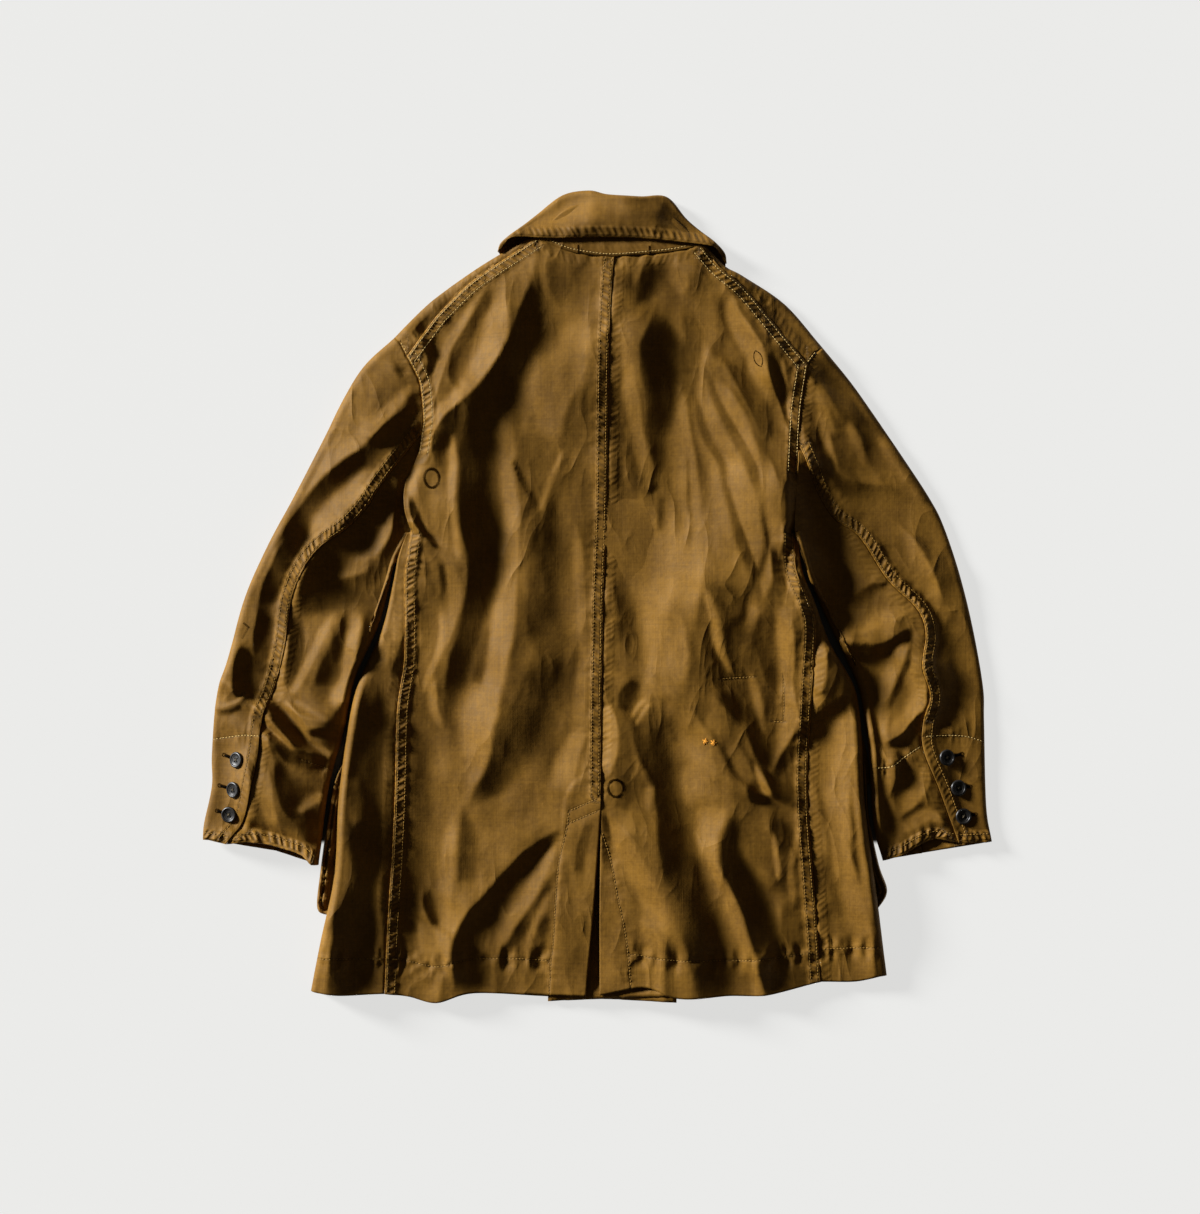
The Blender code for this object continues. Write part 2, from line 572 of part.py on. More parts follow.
def main():
    for item in list(bpy.data.objects):
        bpy.data.objects.remove(item)
    back("back_left", LEFT)
    back("back_right", RIGHT)
    front("front_left", LEFT, lift)
    front("front_right", RIGHT, inner_front_height)
    for side, cut in (("left", LEFT), ("right", RIGHT)):
        sleeves(side, cut)
        flat_piece("pocket_" + side, CLOTH_COLOUR, cut["pocket_outer"], cut["pocket_inner"], 5, one_layer_up)
        flat_piece("flap_" + side, CLOTH_COLOUR, cut["flap_outer"], cut["flap_inner"], 4, ground)
        flat_piece("lapel_" + side, CLOTH_COLOUR, cut["lapel_fold"], cut["lapel_edge"], 5, ground)
        cuff_buttons(side)
    collar()
    front_buttons()


main()
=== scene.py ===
"""A pea coat laid flat on its front: its cloth, folds, seams, stitching, buttons, light and camera.

Each piece of cloth is a thin shell on the form of its CAD solid, cut along the same seams. Its height comes
from a relief of its part of the coat (body, either arm, collar), which holds the folds placed one by one.
Sizes are in millimetres until a mesh is made. Left and right are as seen from above.
"""
import math

import bmesh
import bpy
import numpy as np
from mathutils import Matrix, Vector
from mathutils.bvhtree import BVHTree


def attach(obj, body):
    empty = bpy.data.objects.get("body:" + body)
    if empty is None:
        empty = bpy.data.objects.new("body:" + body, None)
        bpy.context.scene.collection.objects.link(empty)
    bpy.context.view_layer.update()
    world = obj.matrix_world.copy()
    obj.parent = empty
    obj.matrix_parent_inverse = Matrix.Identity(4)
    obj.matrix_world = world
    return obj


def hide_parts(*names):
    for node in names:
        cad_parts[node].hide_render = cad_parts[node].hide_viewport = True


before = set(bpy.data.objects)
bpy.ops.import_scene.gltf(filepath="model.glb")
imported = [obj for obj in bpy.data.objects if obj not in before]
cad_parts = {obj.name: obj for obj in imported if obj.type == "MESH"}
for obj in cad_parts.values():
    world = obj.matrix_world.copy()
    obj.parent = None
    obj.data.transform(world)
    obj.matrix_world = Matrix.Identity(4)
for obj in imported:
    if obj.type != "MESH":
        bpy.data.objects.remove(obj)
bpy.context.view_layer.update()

MM = 0.001
CLOTH = 1.2              # wall of the cloth
LAYER = 1.6              # a pocket above the flap that it lies on
SEAM_GAP = 0.1           # clear width of a seam
WELD = 0.02              # points of a piece that are nearer than this are one
FINE, FINER = 2.1, 1.9   # mean distance between points of what shows, and along a sleeve
ROLL_STEPS = 10          # steps round a folded edge

# Heights above the floor
LOFT = 18.5                                            # the top of the coat between its folds
FLOOR_OF_FOLDS, TOP_OF_FOLDS = 7.0, 33.0               # no trough of it goes lower, no crest higher
INNER_FALL = {"left": 7.0, "right": 10.0}              # the inner edge of a sleeve below its loft
OUTER_FALL = {"left": (8.0, 26), "right": (13.0, 46)}  # the outer edge below it, and over what width
NECK_HEIGHT, LEAF_EDGE_HEIGHT = 17.0, 19.0             # the neck seam, and the leaf's edge over it
LEAF_RISE = -2.6                                       # the rest of the leaf, from the loft
STAND_TIP = 12.0                                       # the upper end of the stand, under the leaf
INNER_FRONT, INNER_HEM = 2.6, 1.5                      # the inner front over the outer one, and at the hem
EDGE_FOLD, EDGE_STANDS = 4.7, 11.0                     # width and height of the folds at a pocket's edge
CUFF_STANDS = 5.0                                      # the under side of a cuff stands open by this

LAPEL_BREAK, FRONT_HEM = 130.0, -385.0                 # the free edge of a front runs from y to y
LAPPED_FROM, LAPPED_TO = 95.0, 140.0                   # the inner front comes down from x to x
CUFF_SLIT = -120                                       # the elbow seam is open below this y
VENT_FACING, PLACKET_ROW = 34.0, 9.0                   # rows of stitches lie this far from the edge

# What lies under the fronts lifts them
#     x,    y, half_x, half_y, slope, rise
LIFTS = [
    (15, 228, 182, 160, 30, 1.6),      # lapels and collar points
    (14, -20, 118, 190, 36, 4.0),      # front buttons
    (-185, -238, 125, 145, 28, 3.2),   # left pocket and flap
    (192, -238, 125, 145, 28, 3.2),    # right pocket and flap
]

# ---------------------------------------------------------------- the cut, in plan

CENTRE_SEAM = [(16, 321.5), (13, 278), (11, 225), (10, 156), (9, 76), (6, 0), (5, -55),
               (4, -107), (3.5, -200)]
LEFT = {
    "neck": [(16, 321.5), (-5, 323), (-30, 328), (-57, 340)],
    "shoulder_fold": [(-66, 340.5), (-93, 325), (-120, 308), (-160, 279), (-193, 246)],
    "shoulder_seam": [(-57, 340), (-87, 321), (-118, 300), (-138, 282), (-156, 263), (-174, 237),
        (-181, 228)],
    "armhole_top": [(-181, 228), (-173, 213), (-168, 200), (-165, 170), (-167, 155)],
    "armhole_low": [(-167, 155), (-170, 135), (-182, 108), (-183, 84), (-177, 62)],
    "armhole_hidden": [(-172, 195), (-168, 150), (-176, 100)],
    "side_fold": [(-181, 60), (-189, 39), (-194, 15), (-205, -32), (-227, -81), (-237, -128), (-245, -190),
        (-249, -263), (-262, -325), (-272, -374)],
    "side_seam": [(-177, 62), (-180, 39), (-183, 15), (-183, -55), (-190, -107), (-192, -185), (-195, -250),
        (-200, -330), (-202, -377)],
    "hem_side": [(-202, -377), (-240, -378)],
    "vent": [(3.5, -200), (-3, -290), (-11, -379.5)],
    "hem": [(-11, -379.5), (-75, -378), (-122, -377), (-153, -386), (-179, -380), (-202, -377)],
    "front_edge": 75,
    "front_hem": [(-150, -375), (-60, -380)],
    "sleeve_fold": [(-193, 246), (-221, 220), (-240, 190), (-260, 150), (-287, 98), (-312, 50), (-335, 0),
        (-351, -58), (-362, -94), (-367, -149), (-367, -180), (-374, -214), (-375, -231)],
    "elbow_seam": [(-167, 155), (-203, 108), (-217, 86), (-238, 64), (-262, 47), (-277, 27), (-290, -3),
        (-296, -45), (-305, -81), (-317, -115), (-321, -150), (-326, -175), (-335, -211), (-352, -235)],
    "front_sleeve_seam": [(-168, 150), (-215, 60), (-262, -40), (-290, -140), (-305, -242)],
    "inner_fold": [(-182, 60), (-192, 36), (-198, 10), (-210, -32), (-230.5, -79), (-240, -125),
        (-254, -175), (-261, -224), (-264, -254)],
    "cuff_under": [(-352, -235), (-322, -233), (-283, -243)],
    "pocket_outer": [(-240, -151), (-252, -180), (-259, -224), (-264, -262), (-267, -297), (-256, -304)],
    "pocket_inner": [(-112, -165), (-116, -315)],
    "flap_outer": [(-238, -130), (-243, -152), (-247, -176)],
    "flap_inner": [(-106, -140), (-108, -186)],
    "lapel_fold": [(66, 134), (-50, 306)],
    "lapel_edge": [(60, 128), (-30, 188), (-112, 212), (-80, 254)],
}
RIGHT = {
    "neck": [(16, 321.5), (49, 324), (75, 327), (98, 333)],
    "shoulder_fold": [(102, 334), (121, 314), (139, 304), (179, 277), (214, 236.5)],
    "shoulder_seam": [(98, 333), (116, 312), (139, 293), (160, 268), (177, 247), (199, 220)],
    "armhole_top": [(199, 220), (194, 185), (192, 165), (190.5, 144)],
    "armhole_low": [(190.5, 144), (189, 115), (187, 88), (186, 62)],
    "armhole_hidden": [(196, 195), (188, 150), (187, 100)],
    "side_fold": [(189.5, 59.5), (194, 25), (204, 0), (221, -45), (243, -84), (250, -120), (254, -200),
        (264, -276), (271, -330), (275, -360)],
    "side_seam": [(186, 62), (188, 25), (200, -5), (206, -30), (203, -94), (200, -159), (200, -200),
        (205, -270), (209, -315), (212, -366)],
    "hem_side": [(212, -366), (245, -366)],
    "vent": [(3.5, -200), (2, -290), (2, -379)],
    "hem": [(2, -379), (45, -371), (76, -381), (123, -379), (162, -378), (212, -366)],
    "front_edge": -47,
    "front_hem": [(150, -372), (60, -379)],
    "sleeve_fold": [(214, 236.5), (240, 205), (260, 177), (286, 139), (315, 95), (329, 68), (344, 23),
        (357, -29), (367, -86), (368, -120), (370, -198), (375, -233)],
    "elbow_seam": [(190.5, 144), (202, 116), (211, 95), (225, 74), (244, 61), (255, 48), (276, 15),
        (303, -12), (311, -36), (307, -66), (315, -94), (309, -118), (309, -145), (325, -185), (343, -234)],
    "front_sleeve_seam": [(188, 150), (224, 60), (268, -40), (294, -140), (309, -244)],
    "inner_fold": [(192, 61), (199, 25), (208, 0), (224, -35), (247, -84), (254, -120), (258, -150),
        (262, -215), (271, -251)],
    "cuff_under": [(343, -234), (318, -231), (292, -244)],
    "pocket_outer": [(256, -159), (259, -210), (268, -255), (276, -280), (268, -296), (258, -304)],
    "pocket_inner": [(122, -165), (126, -315)],
    "flap_outer": [(252, -132), (257, -152), (260, -178)],
    "flap_inner": [(116, -140), (118, -186)],
    "lapel_fold": [(24, 226), (84, 300)],
    "lapel_edge": [(66, 172), (110, 190), (142, 212), (114, 254)],
}
COLLAR = {
    "fold": [(-95, 328), (-91, 337), (-73, 351), (-57, 364), (-33, 382), (-8, 386), (10, 382), (40, 380),
        (66, 380), (86, 358), (110, 338), (121, 327), (123, 317)],
    "leaf_edge": [(-92, 329), (-88, 335), (-78, 340.5), (-41, 339), (1, 340), (40, 339), (73, 336),
        (107, 332), (116, 326), (120, 318.5)],
    "hidden_edge": [(-91, 322), (-97, 262), (-62, 300), (-35, 345), (15, 352), (62, 345), (100, 318),
        (128, 268), (119, 312)],
    "stand_top": [(-48, 352), (-25, 370), (15, 373), (60, 368), (86, 347)],
}
REACH = {
    "shoulder_fold": (2.5, 7.0, 8.0),
    "sleeve_fold": (8.0, 8.0, 6.0),
    "inner_fold": (0.4, 6.0, 6.0),
    "side_fold": (0.4, 7.0, 7.0),
    "collar": (1.0, 6.0, 1.0),
}
BODY_MIDDLE, COLLAR_MIDDLE = (5, 0), (15, 335)
CUTS = {"left": LEFT, "right": RIGHT}
NECK = LEFT["neck"][::-1] + RIGHT["neck"][1:]

# ---------------------------------------------------------------- the folds, in plan
# Every fold is given by its sides. A side is a strip with a lean: above 0 it rises away from the light and
# so faces it, below 0 it falls away into shade. Its points are x, y and half its width there, from the end
# where the fold starts. Later strips lie over earlier ones.
BODY_SIDES = [
    # left back, above: the blade of the shoulder and the long trough beside it
    (-0.6, [(-30, 318, 16), (-28, 295, 20), (-22, 276, 12)]),
    (-1.4, [(84, 274, 6), (92, 252, 9), (88, 228, 8), (86, 208, 5)]),
    (-1.2, [(96, 322, 6), (108, 306, 8), (112, 290, 6)]),
    (-0.9, [(14, 318, 5), (20, 290, 8), (20, 258, 8)]),
    (0.7, [(-14, 262, 8), (-25, 240, 20), (-40, 210, 27), (-55, 180, 27), (-62, 150, 26)]),
    (2.0, [(-94, 292, 5), (-96, 262, 12), (-102, 238, 14), (-112, 212, 13), (-130, 190, 9), (-146, 176, 6),
            (-158, 160, 5), (-160, 132, 3)]),
    (-2.7, [(-56, 312, 1.5), (-60, 290, 7), (-65, 268, 12), (-69, 248, 14), (-78, 225, 14), (-92, 200, 16),
            (-112, 178, 17), (-140, 160, 12), (-150, 145, 8), (-150, 124, 3)]),
    (-1.6, [(-102, 296, 3), (-108, 278, 6), (-117, 262, 6), (-128, 240, 6), (-136, 222, 5), (-138, 208, 4),
            (-133, 196, 2)]),
    (1.7, [(-116, 280, 3), (-132, 255, 5), (-146, 232, 5), (-154, 208, 5), (-159, 185, 4), (-162, 150, 3)]),
    (-2.2, [(-161, 246, 5), (-158, 228, 4), (-161, 212, 2)]),
    (1.0, [(-150, 116, 5), (-152, 95, 9), (-150, 72, 10), (-146, 50, 8), (-140, 25, 7), (-133, 0, 7),
            (-137, -20, 6), (-146, -45, 5), (-152, -62, 3)]),
    (2.0, [(-138, 152, 2), (-137, 130, 3.5), (-139, 105, 4), (-136, 70, 3), (-131, 30, 4)]),
    (-2.2, [(-116, 186, 15), (-116, 160, 18), (-116, 130, 18), (-115, 100, 17), (-112, 70, 17),
            (-108, 40, 14), (-109, 10, 13), (-112, -15, 14), (-118, -40, 15), (-127, -65, 15),
            (-134, -88, 11), (-139, -106, 7), (-144, -120, 2)]),
    (1.9, [(-88, 172, 6), (-86, 140, 8), (-85, 110, 8), (-82, 80, 8), (-84, 50, 9), (-86, 20, 9),
            (-88, -10, 12), (-92, -35, 14), (-100, -60, 16), (-108, -85, 18), (-114, -110, 20),
            (-114, -135, 15), (-110, -154, 11), (-115, -173, 8), (-123, -191, 5), (-130, -202, 2)]),
    (-1.0, [(-50, 100, 6), (-48, 72, 16), (-47, 40, 20), (-46, 10, 21), (-45, -20, 22), (-44, -50, 22)]),
    (-0.9, [(-104, -30, 4), (-110, -60, 6), (-116, -84, 5)]),
    (-1.5, [(-46, -55, 15), (-58, -92, 18), (-71, -124, 20), (-83, -150, 18), (-97, -174, 12),
            (-116, -195, 5)]),
    (0.9, [(-16, -125, 6), (-28, -155, 11), (-36, -185, 11)]),
    (-1.1, [(-10, -215, 3), (-14, -235, 5), (-16, -262, 5)]),
    (1.5, [(-31, 138, 1.5), (-45, 108, 2), (-58, 82, 1.5)]),
    (-1.2, [(-80, 130, 1.2), (-72, 112, 2), (-62, 92, 2), (-56, 78, 1.2)]),
    (0.7, [(-20, 64, 3), (-18, 30, 5), (-16, 0, 5), (-15, -30, 5), (-15, -60, 5), (-16, -90, 6),
            (-21, -122, 6)]),
    (-1.6, [(-178, 92, 2), (-174, 78, 4), (-167, 64, 3), (-158, 54, 2), (-150, 45, 1)]),
    (-0.7, [(-170, 48, 3), (-166, 30, 5), (-158, 18, 4)]),
    (-1.2, [(-148, 32, 3), (-145, 10, 3), (-148, -8, 2)]),
    (-0.6, [(-157, -4, 3), (-160, -30, 4), (-165, -55, 3)]),
    (-1.6, [(-176, -20, 4), (-182, -50, 8), (-188, -80, 10)]),
    (1.6, [(-145, -12, 2.5), (-146, -35, 3), (-151, -55, 3), (-159, -72, 3), (-166, -86, 2.5),
            (-172, -100, 1.5)]),
    (2.0, [(-158, -78, 3), (-157, -95, 4), (-154, -112, 4), (-147, -124, 1.5)]),
    (-1.2, [(-170, -80, 3), (-167, -100, 4), (-164, -120, 4)]),
    # left back, below
    (-1.7, [(-180, -100, 10), (-178, -150, 22), (-178, -190, 24), (-180, -230, 22), (-184, -270, 19),
            (-188, -320, 15), (-190, -384, 13)]),
    (0.6, [(-56, -210, 8), (-80, -222, 14), (-96, -242, 14), (-110, -266, 8)]),
    (-1.3, [(-126, -203, 3), (-122, -225, 9), (-122, -250, 10), (-124, -274, 8)]),
    (1.9, [(-137, -204, 2), (-140, -225, 6), (-144, -250, 8), (-146, -275, 9), (-147, -300, 9),
            (-149, -325, 9), (-151, -345, 9), (-158, -366, 9), (-160, -390, 8)]),
    (-2.7, [(-34, -221, 2.5), (-50, -235, 7), (-68, -252, 8), (-86, -272, 9), (-102, -292, 11),
            (-116, -312, 13), (-124, -335, 14), (-122, -356, 16), (-124, -380, 14)]),
    (1.8, [(-38, -230, 3), (-50, -252, 6), (-66, -280, 8), (-83, -306, 8), (-97, -330, 6),
            (-105, -344, 3)]),
    (-1.6, [(-38, -260, 3), (-52, -285, 5), (-68, -308, 6), (-82, -330, 6), (-90, -350, 6),
            (-90, -380, 8)]),
    (1.1, [(-47, -282, 3), (-58, -310, 4), (-70, -335, 4)]),
    (-1.4, [(-46, -300, 4), (-54, -325, 7), (-59, -345, 9), (-60, -375, 9)]),
    (0.9, [(-168, -285, 3), (-163, -305, 4), (-158, -325, 6), (-160, -345, 7), (-165, -376, 7)]),
    (-2.1, [(-161, -276, 3), (-158, -292, 6), (-155, -304, 5), (-151, -314, 2)]),
    (1.3, [(-200, -36, 5), (-205, -52, 6), (-203, -63, 4)]),
    (-2.2, [(-211, -74, 11), (-216, -110, 20), (-220, -140, 23), (-222, -170, 22), (-223, -200, 22),
            (-225, -230, 23), (-227, -260, 24), (-229, -290, 24), (-232, -320, 22), (-234, -350, 21),
            (-236, -384, 20)]),
    (-1.2, [(-231, -168, 4), (-230, -192, 9), (-226, -214, 6)]),
    (1.2, [(-253, -290, 3), (-257, -320, 5), (-261, -345, 6), (-263, -384, 7)]),
    # right back, above
    (-2.1, [(48, 324, 5), (48, 305, 8), (44, 290, 10), (34, 282, 8), (24, 274, 5), (17, 262, 3)]),
    (0.9, [(70, 320, 7), (76, 302, 9), (80, 288, 4)]),
    (-1.5, [(97, 314, 3), (93, 299, 4), (84, 290, 2)]),
    (-0.8, [(22, 316, 6), (27, 292, 9), (27, 264, 8)]),
    (-0.8, [(18, 120, 4), (18, 85, 6), (19, 50, 6), (20, 15, 5)]),
    (0.6, [(26, 262, 3), (28, 240, 5), (30, 215, 5), (32, 190, 6), (36, 165, 6), (40, 145, 7), (44, 128, 6),
            (46, 111, 3)]),
    (1.5, [(101, 214, 5), (102, 203, 9), (108, 190, 19), (118, 160, 25), (125, 130, 28), (126, 100, 30),
            (122, 70, 34), (118, 40, 36), (112, 10, 34)]),
    (1.6, [(76, 200, 4), (79, 165, 9), (81, 130, 13), (82, 90, 15), (83, 50, 15), (83, 10, 14),
            (82, -25, 10)]),
    (1.7, [(52, 96, 12), (52, 74, 22), (52, 50, 27), (52, 20, 27), (54, -10, 24), (60, -40, 19),
            (61, -64, 17), (66, -86, 10)]),
    (-2.0, [(60, 274, 6), (60, 256, 12), (60, 240, 20), (60, 215, 19), (59, 190, 16), (59, 168, 12),
            (59, 148, 9), (59, 130, 7), (58, 115, 4), (56, 104, 3)]),
    (-2.4, [(58, 107, 4), (51, 102, 2.5), (46, 99, 1)]),
    (-1.9, [(61, 98, 3), (61, 84, 3.5), (60, 70, 2), (59, 62, 1)]),
    (-1.3, [(37, 120, 1.5), (36, 100, 3), (35, 78, 1)]),
    (-1.5, [(19, 190, 3), (19, 165, 4), (19, 140, 5), (20, 110, 6), (20, 80, 6), (20, 50, 6), (22, 20, 7),
            (26, -10, 8), (28, -35, 8), (28, -62, 5)]),
    (-1.4, [(110, 288, 4), (117, 268, 5), (122, 252, 3)]),
    (2.0, [(124, 286, 3), (128, 268, 6), (138, 250, 8), (147, 232, 9), (152, 215, 8), (161, 199, 3)]),
    (-1.3, [(120, 226, 1.5), (132, 212, 6), (142, 198, 8), (150, 182, 9), (158, 165, 8), (165, 146, 5)]),
    (1.4, [(156, 130, 5), (163, 105, 8), (167, 80, 8), (168, 50, 6), (160, 20, 6), (148, -5, 6),
            (142, -30, 5)]),
    (-3.0, [(164, 230, 2), (167, 212, 4), (172, 195, 5.5), (178, 178, 5), (183, 160, 4), (188, 138, 3)]),
    (1.0, [(175, 224, 2), (177, 200, 2.5), (180, 180, 2.5), (184, 162, 1.5)]),
    (-0.2, [(93, 190, 2), (100, 165, 4), (108, 145, 5), (118, 128, 4), (121, 108, 2)]),
    (0.0, [(100, 222, 2), (112, 190, 4), (124, 165, 5), (136, 142, 6), (146, 118, 5), (153, 92, 2)]),
    (0.0, [(118, 120, 2), (124, 90, 4), (133, 60, 5), (142, 30, 5), (150, -2, 4), (158, -24, 2)]),
    (-0.2, [(86, 132, 1), (86, 100, 1.5), (88, 72, 1)]),
    (-1.4, [(166, 48, 3), (169, 22, 5), (171, 0, 5), (168, -18, 3)]),
    (1.5, [(184, 46, 2), (186, 25, 5), (186, 5, 6), (180, -20, 6)]),
    # right back, middle: the knuckle and what runs into it
    (-0.5, [(90, -40, 7), (90, -70, 9), (88, -96, 9)]),
    (2.0, [(101, 8, 2), (107, -15, 3), (113, -40, 3.5), (119, -58, 3), (127, -72, 1)]),
    (-0.8, [(116, -2, 3), (123, -30, 4), (130, -52, 3)]),
    (-1.6, [(158, -14, 4), (160, -35, 6), (161, -55, 8), (164, -74, 7), (164, -88, 4)]),
    (1.8, [(175, -6, 7), (177, -30, 8), (179, -55, 7), (180, -80, 7), (180, -100, 9), (180, -120, 9),
            (176, -138, 6), (170, -153, 3), (165, -163, 1)]),
    (-1.3, [(116, -92, 5), (128, -100, 9), (138, -114, 6)]),
    (-1.7, [(149, -90, 4), (151, -108, 8), (152, -128, 9), (156, -146, 7), (161, -161, 2)]),
    (1.0, [(143, -72, 2), (148, -90, 3.5), (155, -110, 3.5), (161, -130, 1)]),
    (0.9, [(48, -74, 7), (58, -86, 9), (68, -94, 5)]),
    (1.2, [(72, 0, 5), (75, -30, 8), (77, -58, 9), (77, -86, 7)]),
    (-1.0, [(92, -110, 6), (94, -138, 10), (88, -165, 10)]),
    (-1.9, [(38, -78, 5), (30, -93, 8), (23, -110, 5)]),
    (1.5, [(9, -100, 3), (11, -120, 6), (13, -138, 6), (10, -155, 5), (8, -170, 2)]),
    (0.9, [(80, -108, 8), (92, -135, 15), (102, -158, 19), (104, -178, 25), (108, -196, 20)]),
    (-2.2, [(39, -112, 8), (48, -130, 16), (55, -148, 17), (62, -168, 15), (67, -186, 13), (70, -205, 14),
            (71, -226, 16), (76, -248, 18), (83, -270, 19), (91, -292, 20), (98, -314, 20), (105, -338, 19),
            (109, -362, 18), (109, -390, 17)]),
    (0.9, [(126, -138, 5), (136, -158, 8), (146, -176, 5)]),
    (0.8, [(200, -178, 5), (206, -215, 7), (213, -250, 6)]),
    (2.2, [(46, -96, 1), (39, -104, 1.8), (32, -115, 1.5)]),
    (2.0, [(50, -101, 1), (43, -110, 1.6), (36, -122, 1)]),
    (-1.4, [(24, -166, 9), (27, -186, 10), (20, -204, 6)]),
    (0.9, [(52, -178, 3), (50, -188, 5), (44, -202, 5)]),
    (1.9, [(116, -196, 10), (106, -212, 13), (103, -230, 9), (108, -248, 6), (116, -268, 5), (126, -290, 5),
            (134, -312, 7), (144, -334, 6), (150, -350, 5), (154, -384, 5)]),
    (1.8, [(8, -210, 2), (16, -225, 7), (28, -245, 10), (42, -268, 12), (54, -290, 13), (64, -308, 12),
            (72, -322, 4)]),
    (1.6, [(43, -300, 7), (48, -320, 8), (53, -345, 8), (56, -384, 8)]),
    (-1.6, [(4, -205, 2), (7, -230, 4), (10, -262, 4)]),
    (-2.4, [(132, -204, 4), (124, -225, 7), (123, -245, 10), (132, -265, 12), (144, -285, 14),
            (152, -305, 14), (160, -328, 14), (168, -350, 16), (177, -384, 15)]),
    (-2.4, [(144, -178, 3), (150, -190, 6), (163, -193, 3)]),
    (2.5, [(150, -158, 1), (154, -170, 3), (160, -184, 3), (164, -188, 1)]),
    (-2.0, [(158, -162, 1), (164, -174, 2), (163, -182, 1)]),
    (-2.3, [(167, -172, 2), (178, -157, 7), (191, -142, 9), (203, -128, 10), (217, -115, 10),
            (231, -102, 9), (245, -89, 5)]),
    # right side
    (-0.9, [(166, -208, 8), (174, -232, 13), (175, -256, 13), (170, -284, 10)]),
    (-1.3, [(180, -286, 8), (188, -315, 14), (194, -345, 15), (196, -384, 14)]),
    (2.0, [(164, -226, 1), (167, -240, 2.5), (170, -254, 3), (171, -268, 1)]),
    (0.9, [(187, -210, 3), (187, -238, 3), (184, -262, 3), (183, -292, 3)]),
    (1.7, [(213, -44, 5), (209, -74, 6), (207, -104, 6)]),
    (-1.8, [(229, -62, 4), (224, -78, 8), (217, -96, 8)]),
    (1.7, [(240, -104, 5), (234, -124, 13), (229, -148, 17), (226, -172, 16), (226, -200, 13),
            (232, -235, 9)]),
    (1.6, [(249, -108, 4), (251, -150, 7), (248, -190, 6), (251, -230, 6), (256, -270, 7), (262, -310, 9)]),
    (1.6, [(222, -206, 4), (230, -245, 8), (238, -275, 11), (245, -302, 11), (250, -330, 11),
            (254, -368, 10)]),
    (-1.5, [(216, -285, 4), (219, -320, 7), (221, -355, 8), (221, -384, 7)]),
    # over the shoulders
    (-1.0, [(120, 300, 8), (150, 278, 9), (180, 256, 9), (202, 238, 6)]),
    (0.5, [(-110, 300, 7), (-140, 285, 7), (-168, 262, 8), (-185, 245, 6)]),
    (-1.8, [(-158, 272, 2), (-164, 262, 4), (-170, 252, 3)]),
]
